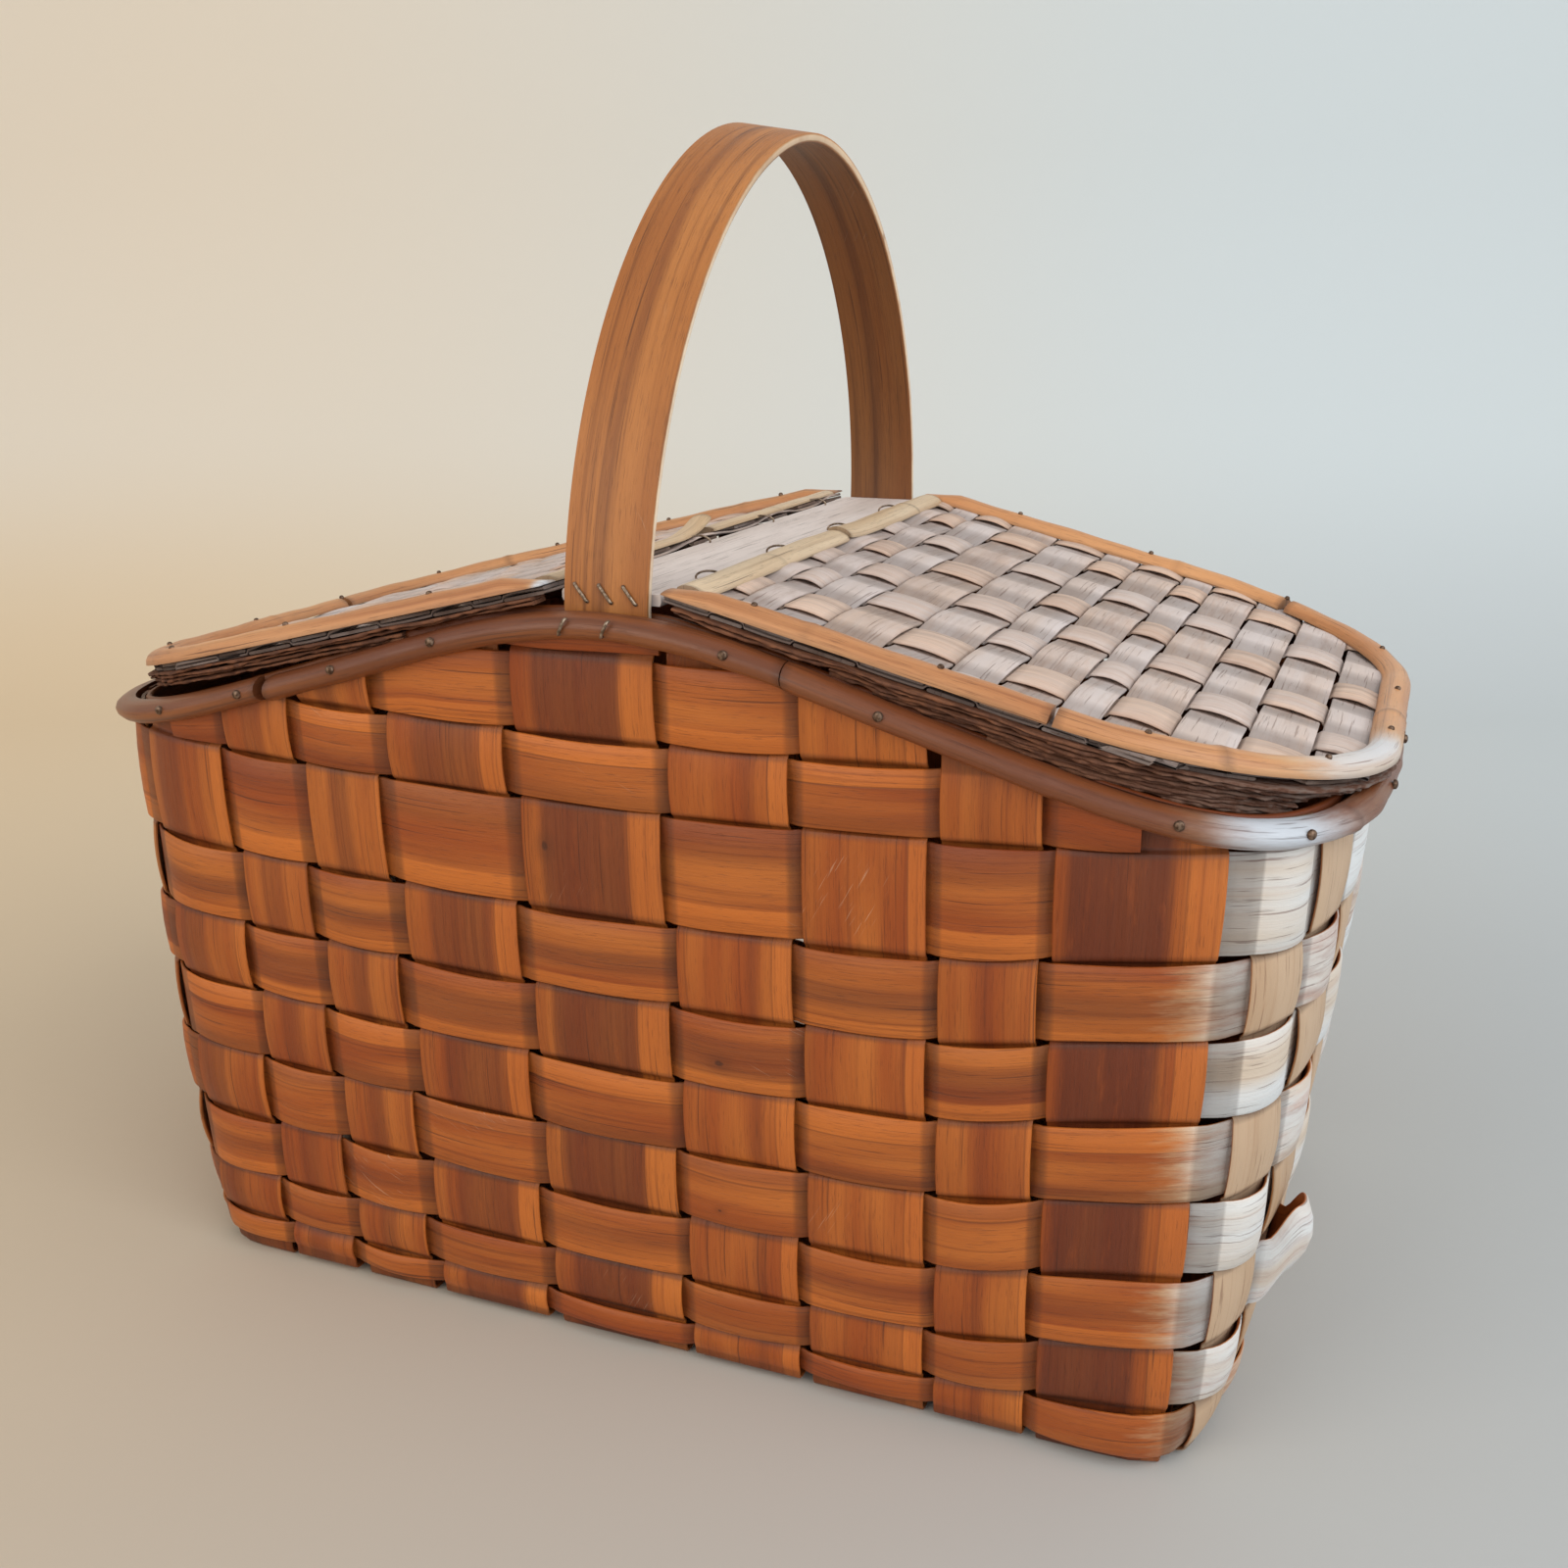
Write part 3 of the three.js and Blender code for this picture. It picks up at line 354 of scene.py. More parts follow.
def tube_faces(rings, count, closed):
    """Faces through a row of closed sections that all have the same number of points."""
    faces = []
    for i in range(rings if closed else rings - 1):
        after = (i + 1) % rings
        for k in range(count):
            beside = (k + 1) % count
            faces.append((i * count + k, i * count + beside, after * count + beside, after * count + k))
    if not closed:
        faces.append(tuple(range(count))[::-1])
        faces.append(tuple((rings - 1) * count + k for k in range(count)))
    return faces


# %% A splint with thickness and eased edges
SPLINT_HALF = 0.6
EASED_SHARE = 0.45
EASED_WIDTH = 0.4


def travelled(points):
    """Distance from the first point to each point of a line."""
    return np.concatenate([[0], np.cumsum(np.linalg.norm(np.diff(points, axis=0), axis=1))])


def across_shares(width, count=5):
    """Shares of the width at which a splint has points: close together at its two edges."""
    edge = EASED_WIDTH / width
    return np.concatenate([[0], np.linspace(edge, 1 - edge, count), [1]])


def mark_notes(look, shape):
    """Heartwood and sapwood as from, to and strength; a knot as its place and size."""
    scales = {"heart": [MM, MM, 1], "sap": [MM, MM, 1], "knot": [MM, MM, MM]}
    notes = {}
    for key, scale in scales.items():
        notes[key] = np.broadcast_to(np.array(look.get(key, (0, 0, 0))) * scale, shape)
    return notes


def splint(name, middle, out, look, material, closed=False, half=SPLINT_HALF):
    """middle and out are arrays of stations along, points across and x, y, z."""
    stations, count, _ = middle.shape
    ease = np.ones(count)
    ease[0] = ease[-1] = EASED_SHARE
    offset = out * (half * ease)[None, :, None]
    ring = np.concatenate([middle + offset, (middle - offset)[:, ::-1]], axis=1)
    u = travelled(middle[:, count // 2])
    v = np.cumsum(np.linalg.norm(np.diff(middle, axis=1), axis=2), axis=1)
    v = np.concatenate([np.zeros((stations, 1)), v], axis=1)
    v = v - v[:, -1:] / 2
    grain = np.stack([np.repeat(u[:, None], count, 1), v, np.full_like(v, look["seed"])], -1)
    grain = np.concatenate([grain, grain[:, ::-1]], axis=1)
    grain[..., :2] *= MM
    marks = mark_notes(look, grain.shape)
    # Each point keeps a random tone, how bleached it is (on some cane rods this is a painted highlight), and
    # how dark it is painted for old varnish and for shade in creases.
    varnish_and_shade = np.broadcast_to(np.asarray(look["varnish_and_shade"], float).reshape(stations, -1), v.shape)
    bleach_and_sheen = np.broadcast_to(np.asarray(look["bleach_and_sheen"], float).reshape(-1, 1), v.shape)
    wear_shade_and_sheen = np.stack([np.full_like(v, look["tone"]), bleach_and_sheen, varnish_and_shade], -1)
    inner = wear_shade_and_sheen[:, ::-1] * (1, look.get("inner_bleach", 1), 1)
    wear_shade_and_sheen = np.concatenate([wear_shade_and_sheen, inner], axis=1)
    faces = tube_faces(stations, 2 * count, closed)
    return new_piece(name, ring, faces, material, {"grain": grain, "wear_shade_and_sheen": wear_shade_and_sheen, **marks})

# %% [markdown]
# ## Colours and the wood finish
#
# The wood is varnished and aged: honey where it is sapwood, red-brown in the heartwood, nearly
# grey where sun and rain have taken the varnish off. On the cane rods the same silvery grey also
# makes a painted highlight. Wood looks right when its marks are long along the grain and narrow
# across it, so the noise is read in grain coordinates that are stretched. What the mesh keeps says
# where heartwood, knots, bare wood, painted highlights, old varnish and painted shade go. The
# helpers below keep each finish short: one adds a node, the others add, mix and limit values.

# %% Colours and nodes


def srgb(red, green, blue):
    """A colour as seen on a screen, 0 to 255, turned into the linear values that Blender wants."""
    shares = [value / 255 for value in (red, green, blue)]
    return (*[s / 12.92 if s <= 0.04045 else ((s + 0.055) / 1.055) ** 2.4 for s in shares], 1)


def put(tree, kind, sockets=None, **settings):
    """Adds a node; a socket is given a value or the output that feeds it."""
    made = tree.nodes.new("ShaderNode" + kind)
    for key, value in settings.items():
        setattr(made, key, value)
    for key, value in (sockets or {}).items():
        if isinstance(value, bpy.types.NodeSocket):
            tree.links.new(value, made.inputs[key])
        else:
            made.inputs[key].default_value = value
    return made


print("honey in linear values:", [round(value, 3) for value in srgb(184, 103, 40)])

# %% Sums, mixes and ramps


def calc(tree, operation, a, b=0.0):
    return put(tree, "Math", {0: a, 1: b}, operation=operation).outputs[0]


def plus(tree, a, b):
    return calc(tree, "ADD", a, b)


def less(tree, a, b):
    return calc(tree, "SUBTRACT", a, b)


def times(tree, a, b):
    return calc(tree, "MULTIPLY", a, b)


def stronger(tree, a, b):
    return calc(tree, "MAXIMUM", a, b)


def mixed(tree, share, a, b, kind="MIX"):
    return put(tree, "MixRGB", {0: share, 1: a, 2: b}, blend_type=kind).outputs[0]


def ramp(tree, value, low, high):
    """0 below low, 1 above high, and a smooth change between."""
    sockets = {"Value": value, "From Min": low, "From Max": high}
    return put(tree, "MapRange", sockets, interpolation_type="SMOOTHSTEP").outputs[0]


# %% Streaks, notes and a new finish
COAT_ROUGHNESS = 0.3


def streaks(tree, vector, along, across, shift, detail, rough):
    """Noise in grain coordinates: along and across are how many marks there are in a metre."""
    scaled = put(tree, "VectorMath", {0: vector, 1: (along, across, 1)}, operation="MULTIPLY").outputs[0]
    moved = put(tree, "VectorMath", {0: scaled, 1: (shift, shift, shift)}, operation="ADD").outputs[0]
    sockets = {"Vector": moved, "Scale": 1, "Detail": detail, "Roughness": rough}
    return put(tree, "TexNoise", sockets).outputs[0]


def note(tree, name):
    """One of the notes kept on the mesh, as a vector and as its three numbers."""
    vector = put(tree, "Attribute", attribute_name=name, attribute_type="GEOMETRY").outputs["Vector"]
    return vector, put(tree, "SeparateXYZ", {0: vector}).outputs


def new_finish(name, metallic=0.0, coat=0.0):
    material = bpy.data.materials.new(name)
    material.use_nodes = True
    shader = material.node_tree.nodes["Principled BSDF"]
    shader.inputs["Metallic"].default_value = metallic
    shader.inputs["Coat Weight"].default_value = coat
    shader.inputs["Coat Roughness"].default_value = COAT_ROUGHNESS
    return material, material.node_tree, shader


def set_surface(tree, shader, colour, rough, height, strength, depth):
    """Links the three things that every finish works out: colour, roughness and relief."""
    tree.links.new(colour, shader.inputs["Base Color"])
    tree.links.new(rough, shader.inputs["Roughness"])
    bump = put(tree, "Bump", {"Strength": strength, "Distance": depth, "Height": height})
    tree.links.new(bump.outputs[0], shader.inputs["Normal"])

# %% [markdown]
# Splint wood shows long marks of many sizes: fibres, growth lines, hair lines, pores, scratches and
# the cracks of weathered wood. Painted marks would repeat from strip to strip. Here each kind is
# one noise in stretched grain coordinates, and a table says between which values it shows.

# %% Marks of the splint wood
# Each layer of streaks: marks in a metre along and across the grain, a shift, detail, roughness.
STREAKS = {
    "fibre": (60, 3600, 3.1, 4, 0.65),
    "line": (9, 760, 7.7, 3, 0.6),
    "slow": (7, 60, 1.3, 2, 0.55),
    "patch": (45, 260, 2.2, 4, 0.7),
    "hair": (14, 1100, 4.4, 2, 0.55),
    "pore": (150, 2900, 5.2, 2, 0.55),
    "crack": (40, 1300, 8.4, 3, 0.55),
    "scratch": (70, 2400, 6.0, 2, 0.55),
    "scratched place": (16, 16, 2.5, 1, 0.55),
}
# Each mark: the noise value where it begins to show, where it shows fully, and its strength.
MARKS = {
    "light streak": (0.3, 0.72, 1.0),
    "growth line": (0.48, 0.8, 0.55),
    "heart line": (0.3, 0.62, 0.7),
    "heart patch": (0.52, 0.75, 0.4),
    "hair": (0.665, 0.71, 0.6),
    "pore": (0.6, 0.7, 0.28),
    "crack": (0.61, 0.68, 1.0),
    "scratch": (0.64, 0.72, 1.0),
    "scratched place": (0.66, 0.72, 0.32),
    "silver": (0.4, 0.85, 1.0),
    "cream patch": (0.42, 0.72, 0.6),
    "brown line": (0.5, 0.9, 0.4),
}


def mark(tree, noise, name):
    low, high, strength = MARKS[name]
    return times(tree, ramp(tree, noise, low, high), strength)


print("layers of streaks:", len(STREAKS), "kinds of marks:", len(MARKS))

# %% Knots and bands noted on the mesh
KNOT_SHORTENED = 0.7
KNOT_RAGGED = 1.2
KNOT_EYE = (0.9, 1.7)
KNOT_TAIL = (1.2, 4.2)
KNOT_TAIL_SHARE = 0.35
KNOT_SHARE = 0.85
NO_KNOT = 0.00001


def inside_band(tree, place, band, soft):
    """1 between the two edges of a band noted on the mesh, times its strength."""
    low = ramp(tree, less(tree, place, band[0]), -soft, soft)
    high = ramp(tree, less(tree, band[1], place), -soft, soft)
    return times(tree, times(tree, low, high), band[2])


def knot_mark(tree, along, across, knot, ragged):
    """A dark eye with a fainter tail along the grain, and nothing where no knot is noted."""
    down = times(tree, less(tree, along, knot[0]), KNOT_SHORTENED)
    far = put(tree, "CombineXYZ", {0: down, 1: less(tree, across, knot[1]), 2: 0.0}).outputs[0]
    far = put(tree, "VectorMath", {0: far}, operation="LENGTH").outputs["Value"]
    far = calc(tree, "DIVIDE", far, plus(tree, knot[2], NO_KNOT))
    far = plus(tree, far, times(tree, ragged, KNOT_RAGGED))
    eye = less(tree, 1.0, ramp(tree, far, *KNOT_EYE))
    tail = times(tree, less(tree, 1.0, ramp(tree, far, *KNOT_TAIL)), KNOT_TAIL_SHARE)
    return times(tree, stronger(tree, eye, tail), KNOT_SHARE)


# %% Sound wood and its dark marks
HEART_SOFT = 0.002
SAP_SOFT = 0.0004
SAP_SHARE = 0.8
SAP_LIGHTER = 1.13
SAP_BORDER = (0.0001, 0.0004)
SAP_BORDER_SHARE = 0.55


def sound_wood(tree, noise, place, heart_at, sap_at, shades):
    """The wood itself: honey streaks, a paler band of sapwood and the dark heartwood."""
    light, middle, dark = srgb(*shades["light"]), srgb(*shades["middle"]), srgb(*shades["dark"])
    colour = mixed(tree, mark(tree, noise["slow"], "light streak"), middle, light)
    sap = times(tree, inside_band(tree, place, sap_at, SAP_SOFT), SAP_SHARE)
    colour = mixed(tree, sap, colour, srgb(*[min(255, SAP_LIGHTER * value) for value in shades["light"]]))
    colour = mixed(tree, mark(tree, noise["line"], "growth line"), colour, dark)
    heart = mixed(tree, mark(tree, noise["line"], "heart line"), srgb(*shades["heart"]), dark)
    heart = mixed(tree, mark(tree, noise["patch"], "heart patch"), heart, middle)
    return mixed(tree, inside_band(tree, place, heart_at, HEART_SOFT), colour, heart)


def dark_marks(tree, noise, place, sap_at, knot, fine):
    """Hair lines, the thin line beside the sapwood, pores and knots."""
    from_sap = calc(tree, "ABSOLUTE", less(tree, place, sap_at[0]))
    border = times(tree, less(tree, 1.0, ramp(tree, from_sap, *SAP_BORDER)), sap_at[2])
    marks = stronger(tree, mark(tree, noise["hair"], "hair"), times(tree, border, SAP_BORDER_SHARE))
    marks = stronger(tree, marks, times(tree, mark(tree, noise["pore"], "pore"), fine))
    return stronger(tree, marks, knot)


# %% Weathered wood and a painted highlight
WORN_UNEVEN = 0.9
WORN = (0.22, 0.88)
CRACK_SHARE = 0.5


def weathered_and_sheen(tree, noise, colour, bleach_and_sheen, shades):
    """Bare wood: cream at first, silver where it is bleached most, with dark fine cracks; on the cane rods
    the silver is also a painted highlight.
    """
    cream, grey = srgb(*shades["cream"]), srgb(*shades["grey"])
    pale = mixed(tree, mark(tree, bleach_and_sheen, "silver"), cream, grey)
    pale = mixed(tree, mark(tree, noise["slow"], "cream patch"), pale, cream)
    pale = mixed(tree, mark(tree, noise["line"], "brown line"), pale, colour)
    cracks = mark(tree, noise["crack"], "crack")
    pale = mixed(tree, times(tree, cracks, CRACK_SHARE), pale, srgb(*shades["dark"]))
    uneven = times(tree, less(tree, noise["patch"], 0.5), WORN_UNEVEN)
    worn_and_sheen = ramp(tree, plus(tree, bleach_and_sheen, uneven), *WORN)
    return mixed(tree, worn_and_sheen, colour, pale), worn_and_sheen, cracks


# %% The splint wood
MARK_BROWN = srgb(70, 34, 18)
SCRATCH_CREAM = srgb(226, 196, 164)
VARNISH_AND_SHADE_BROWN = srgb(52, 27, 15)
DULL_LEVEL = 0.36
HEART_WANDER = 0.0045
SCRATCH_TURN = 0.5
FIBRE_SHADE = 0.34
TONE_SHADE = 0.16
VARNISH_AND_SHADE_LEAST = 0.45
VARNISH_AND_SHADE_MOST = 0.85
PATCH_ROUGH = 0.16
WORN_ROUGH = 0.12
GRAIN_HEIGHT = 0.6
CRACK_DEPTH = 0.8
MARK_DEPTH = 0.7
RELIEF_STRENGTH = 0.5
WOOD_RELIEF = 0.0004


def splint_wood(name, gloss=0.42, coat=0.08, fine=1.2, **shades):
    """shades are light, middle, dark, heart, grey and cream, each as seen on a screen."""
    material, tree, shader = new_finish(name, coat=coat)
    shader.inputs["Specular IOR Level"].default_value = DULL_LEVEL
    grain, (along, across, _) = note(tree, "grain")
    heart_at, sap_at, knot_at = (note(tree, key)[1] for key in ("heart", "sap", "knot"))
    _, (tone, bleach_and_sheen, varnish_and_shade) = note(tree, "wear_shade_and_sheen")
    turned = put(tree, "VectorRotate", {"Vector": grain, "Angle": SCRATCH_TURN}, rotation_type="Z_AXIS")
    noise = {}
    for key, numbers in STREAKS.items():
        noise[key] = streaks(tree, turned.outputs[0] if key == "scratch" else grain, *numbers)
    wander = times(tree, less(tree, noise["slow"], 0.5), HEART_WANDER)
    place = plus(tree, across, wander)

    colour = sound_wood(tree, noise, place, heart_at, sap_at, shades)
    knot = knot_mark(tree, along, across, knot_at, noise["patch"])
    marks = dark_marks(tree, noise, place, sap_at, knot, fine)
    colour = mixed(tree, marks, colour, MARK_BROWN)
    half_shade = FIBRE_SHADE * fine / 2
    shade = plus(tree, 1.0 - half_shade, times(tree, noise["fibre"], 2 * half_shade))
    shade = times(tree, shade, plus(tree, 1.0, times(tree, tone, TONE_SHADE)))
    shade = put(tree, "CombineXYZ", {0: shade, 1: shade, 2: shade}).outputs[0]
    colour = mixed(tree, 1.0, colour, shade, "MULTIPLY")
    scratched = mark(tree, noise["scratched place"], "scratched place")
    scratched = times(tree, mark(tree, noise["scratch"], "scratch"), scratched)
    colour = mixed(tree, scratched, colour, SCRATCH_CREAM)
    colour, worn_and_sheen, cracks = weathered_and_sheen(tree, noise, colour, bleach_and_sheen, shades)
    # Painted shade with dark old varnish: the wood turns deep brown where the mesh notes say, at crossing
    # edges, gaps, creases and under rods.
    varnish_and_shade = times(tree, varnish_and_shade, plus(tree, VARNISH_AND_SHADE_LEAST, noise["slow"]))
    colour = mixed(tree, calc(tree, "MINIMUM", varnish_and_shade, VARNISH_AND_SHADE_MOST), colour, VARNISH_AND_SHADE_BROWN)

    rough = plus(tree, gloss, times(tree, noise["patch"], PATCH_ROUGH))
    rough = plus(tree, rough, times(tree, worn_and_sheen, WORN_ROUGH))
    fibres = times(tree, noise["fibre"], GRAIN_HEIGHT)
    height = plus(tree, fibres, times(tree, noise["line"], GRAIN_HEIGHT))
    height = less(tree, height, times(tree, cracks, times(tree, worn_and_sheen, CRACK_DEPTH)))
    height = less(tree, height, times(tree, marks, MARK_DEPTH))
    set_surface(tree, shader, colour, rough, height, RELIEF_STRENGTH, WOOD_RELIEF)
    return material


HONEY = splint_wood(
    "splint_wood", light=(184, 103, 40), middle=(148, 68, 21), dark=(96, 39, 15),
    heart=(98, 44, 25), grey=(222, 222, 220), cream=(204, 170, 128),
)
END_WOOD = splint_wood(
    "end_splint_wood", light=(188, 122, 66), middle=(158, 88, 42), dark=(104, 52, 28),
    heart=(120, 70, 46), grey=(196, 166, 136), cream=(172, 134, 98),
)
LID_WOOD = splint_wood(
    "lid_wood", light=(222, 190, 166), middle=(196, 162, 140), dark=(116, 86, 70),
    heart=(150, 124, 112), grey=(214, 200, 194), cream=(206, 182, 166), gloss=0.58, coat=0.0, fine=1.0,
)
HANDLE_WOOD = splint_wood(
    "handle_wood", light=(186, 120, 62), middle=(158, 94, 42), dark=(78, 36, 16),
    heart=(118, 64, 32), grey=(236, 218, 192), cream=(214, 176, 132),
)
print("finishes:", [m.name for m in bpy.data.materials])

# %% [markdown]
# ## The woven wall
#
# A weaver lies outside one upright and inside the next, and wood that is bent over an upright
# springs into a shallow bow. So the distance from the middle surface is a small step at the two
# edges of each crossing, plus a bulge that is largest in the middle, and a smooth change of side
# in the narrow gap between two uprights. The uprights do the same between two rows.

# %% Lift of a splint over the crossings
LAYER = 0.75
WEAVER_BULGE = 2.3
UPRIGHT_BULGE = 1.1
HIDDEN_BULGE = 0.3
OVER_SHARES = np.array([0, 0.035, 0.125, 0.25, 0.375, 0.5, 0.625, 0.75, 0.875, 0.965, 1])
SPRUNG_SHARES = np.linspace(0, 1, 25)
BETWEEN_SHARES = np.array([0.25, 0.5, 0.75])
# Painted shade with dark old varnish: at the two edges of each crossing, and in the gaps where a splint
# changes sides.
CROSSING_SHADE_WIDTH = 1.3
CROSSING_VARNISH_AND_SHADE = 0.4
GAP_VARNISH_AND_SHADE = 0.5
LONG_WANDER = 19
SHORT_WANDER = 7.3
chance = random.Random(7)


def over_lift(is_outside, share, bulge, width):
    """Lift along one crossing, and its painted shade with dark old varnish near the edges."""
    bow = 4 * share * (1 - share)
    if is_outside:
        lift = LAYER + bulge * bow
    else:
        lift = -LAYER - HIDDEN_BULGE * bow
    edge = np.minimum(share, 1 - share) * width
    return lift, np.clip(1 - edge / CROSSING_SHADE_WIDTH, 0, 1) ** 2 * CROSSING_VARNISH_AND_SHADE


def wobble(distance, seed, size):
    """A slow, uneven wander of a few tenths of a millimetre, for edges cut by hand."""
    long_wave = np.sin(distance / LONG_WANDER + seed * 1.7)
    short_wave = np.sin(distance / SHORT_WANDER + seed * 4.1)
    return size * (long_wave + 0.6 * short_wave) / 1.6


print("a weaver stands out by", LAYER + WEAVER_BULGE, "mm, an upright by", LAYER + UPRIGHT_BULGE, "mm")

# %% [markdown]
# A weaver is worked out station by station. A station lies on an upright, or between two of them
# where the weaver changes sides, and holds its place, its lift, and the painted shade with dark old
# varnish that lies there.
# No two crossings of a handmade basket bow alike, so each draws its own strength, and three are
# sprung further, one of them as a loose loop on the right end.

# %% Stations of a weaver
CROSSING_WIDTH = 35
UNEVEN_WEAVER = (0.8, 1.2)
SPRUNG = {(8, "right", 2): 4.4, (10, "front", 9): 1.3, (7, "right", 1): 1.4}
FAR_SPRUNG = 2


def weaver_stations(row, uprights, limits, closed):
    """For each station: two uprights with a share of each, how far between them, lift, and painted shade with
    dark old varnish.
    """
    stations = []
    for k, upright in enumerate(uprights):
        turned = upright["wall"] in TURNED_WALLS
        low = limits[0] if k == 0 else 0
        high = limits[1] if k == len(uprights) - 1 else 1
        strength = chance.uniform(*UNEVEN_WEAVER) * SPRUNG.get((row, upright["wall"], upright["number"]), 1)
        over = OVER_SHARES if strength < FAR_SPRUNG else SPRUNG_SHARES
        for share in over * (high - low) + low:
            bulge = WEAVER_BULGE * strength
            lift, varnish_and_shade = over_lift(outside(row, upright), np.clip(share, 0, 1), bulge, CROSSING_WIDTH)
            stations.append((upright, 1 - share if turned else share, upright, 0, 0, lift, varnish_and_shade))
        if k == len(uprights) - 1 and not closed:
            break
        after = uprights[(k + 1) % len(uprights)]
        here = LAYER if outside(row, upright) else -LAYER
        there = LAYER if outside(row, after) else -LAYER
        here_end = 0 if turned else 1
        there_end = 1 if after["wall"] in TURNED_WALLS else 0
        for share in BETWEEN_SHARES:
            lift = here + (there - here) * smooth(share)
            stations.append((upright, here_end, after, there_end, share, lift, GAP_VARNISH_AND_SHADE))
    return stations


def distance_round(station, z, closing):
    """Distance round the wall of a station, also across the join of a closed ring."""
    a, a_share, b, b_share, blend, _, _ = station
    start = round_distance(a, a_share, z)
    if not blend:
        return start
    end = round_distance(b, b_share, z)
    if closing:
        end = end + 4 * quarter(z)
    return start + (end - start) * blend


print("sprung crossings:", len(SPRUNG))

# %% One weaver
LOOP_RISE = 10
LOOP_LIFT = 3.5
LOOP_GROWTH = 8
EDGE_WANDER = 0.45
WEAVER_CUP = 0.3
INSIDE_BLEACH = 0.1


def weaver(row, uprights, limits, closed, name, nodes, look):
    """One row. Where it is sprung far out it also rises, as the loop on the right end does."""
    stations = weaver_stations(row, uprights, limits, closed)
    low, high = ROW_EDGES[row]
    shares = across_shares(high - low)
    middle_z = (low + high) / 2
    closing = [closed and station[2] is uprights[0] for station in stations]
    s = np.array([distance_round(st, middle_z, join) for st, join in zip(stations, closing)])
    lift = np.array([st[5] for st in stations])[:, None]
    loose = LOOP_RISE * smooth(np.clip((lift[:, 0] - LOOP_LIFT) / LOOP_GROWTH, 0, 1))
    bottom = row_edge(low, s, middle_z) + wobble(s, row + 0.3, EDGE_WANDER) + loose
    top = row_top(row, s, middle_z) + wobble(s, row + 7.1, EDGE_WANDER) + loose
    z = bottom[:, None] + (top - bottom)[:, None] * shares[None, :]
    s = np.stack([distance_round(st, z[i], closing[i]) for i, st in enumerate(stations)])
    cup = 1 - WEAVER_CUP * (2 * shares - 1) ** 2
    lift = np.where(lift > LAYER, LAYER + (lift - LAYER) * cup, lift + 0 * cup)
    middle, out = wall(s, z, lift)
    varnish_and_shade = np.array([st[6] for st in stations])
    look = {**look, "varnish_and_shade": varnish_and_shade, "bleach_and_sheen": look["bleach_and_sheen"](middle[:, 3]), "inner_bleach": INSIDE_BLEACH}
    return hand_in(splint(name, middle, out, look, HONEY, closed), "basket", nodes)

# %% [markdown]
# On the right end the varnish is gone, and the wood is pale and silvery from the front corner on.
# How bleached a point is follows from where it lies, times a strength for each row. The tables
# after it give every row its own tone, sapwood, heartwood and knot, as no two splints come from
# the same place in the log.

# %% Where the wood is bleached
BLEACH_START = 156
BLEACH_SOFT = 32
FAINT_BLEACH = 0.08


def wall_bleach(strength):
    """Weathering of a row: strong on the right end, from its front corner on, faint elsewhere."""

    def bleach_and_sheen(points):
        right = np.clip((points[:, 0] - BLEACH_START) / BLEACH_SOFT, 0, 1)
        return FAINT_BLEACH + strength * smooth(right)

    return bleach_and_sheen

# %% All rows
# Rows with an even number come out just past the right corner, and the light bleached them most.
ROW_BLEACH = [0.1, 0.15, 0.3, 0.9, 0.62, 0.95, 0.66, 0.85, 0.72, 0.7, 0.55]
ROW_TONE = [0.1, 0.5, 0.2, 0.3, -0.1, 0.2, 0.1, 0.5, 0.3, -0.1, 0.4]
# Sapwood and heartwood: from, to and strength; a knot: distance along, place across and size.
ROW_SAP = [
    (0, 0, 0), (-20, -6, 0.7), (4, 20, 0.8), (-20, -9, 0.9), (-20, -8.5, 0.9), (-20, -7, 0.8), (4, 20, 0.7),
    (6, 20, 0.8), (-20, -6, 0.8), (-20, -4, 0.7), (0, 0, 0),
]
ROW_HEART = [
    (0, 0, 0), (0, 0, 0), (-9, -4, 0.3), (6, 20, 0.35), (-4, 3, 0.5), (-6, 6, 0.45), (-12, -7, 0.4),
    (6, 12, 0.5), (-2, 4, 0.35), (-7, -3, 0.3), (0, 0, 0),
]
ROW_KNOT = {5: (216, -3, 1.5), 7: (213, -6, 0.7), 4: (620, 3, 1.2), 8: (840, -3, 1.0)}
NO_MARK = (0, 0, 0)
for row in range(len(ROW_EDGES)):
    look = {
        "seed": 11.3 * row + 2, "tone": ROW_TONE[row], "bleach_and_sheen": wall_bleach(ROW_BLEACH[row]),
        "heart": ROW_HEART[row], "sap": ROW_SAP[row], "knot": ROW_KNOT.get(row, NO_MARK),
    }
    if row not in ROW_ENDS:
        made = weaver(row, UPRIGHTS, (0, 1), True, f"row_{row + 1}_splint", [f"weaver_{row + 1}"], look)
        continue
    for wall_name in LONG_WALLS:
        crossed = [u for u in UPRIGHTS if u["wall"] == wall_name and crosses(row, u)]
        shares = [ROW_ENDS[row][0][1], ROW_ENDS[row][1][1]]
        if wall_name == "back":
            shares = [1 - shares[1], 1 - shares[0]]
        name = f"row_{row + 1}_{wall_name}_splint"
        made = weaver(row, crossed, shares, False, name, [f"weaver_{row + 1}_{wall_name}"], look)
print("rows woven:", len(ROW_EDGES), "points in the last:", len(made.data.vertices))

# %% [markdown]
# ## The splints under the floor
#
# Each upright is one half of a long splint that goes down a wall, turns under, crosses the floor
# and climbs the other wall. On the floor it is woven too, and nothing may sink below the lowest
# layer, so there the bow only goes up. The turn at the bottom is a short smooth curve.

# %% Down one wall
BEND_HEIGHT = 4
MIDDLE_HEIGHT = 120.0
ROW_SHARES = np.array([0, 0.05, 0.17, 0.33, 0.5, 0.67, 0.83, 0.95, 1])
GAP_SHARES = np.array([0.33, 0.67])
CROWN_RISE = 3
END_RISE = 0.3
UNEVEN_UPRIGHT = (0.7, 1.25)
# Painted shade with dark old varnish: at an upright's top under the rim, and at its bend under the floor.
RIM_VARNISH_AND_SHADE = 0.8
BEND_VARNISH_AND_SHADE = 0.6


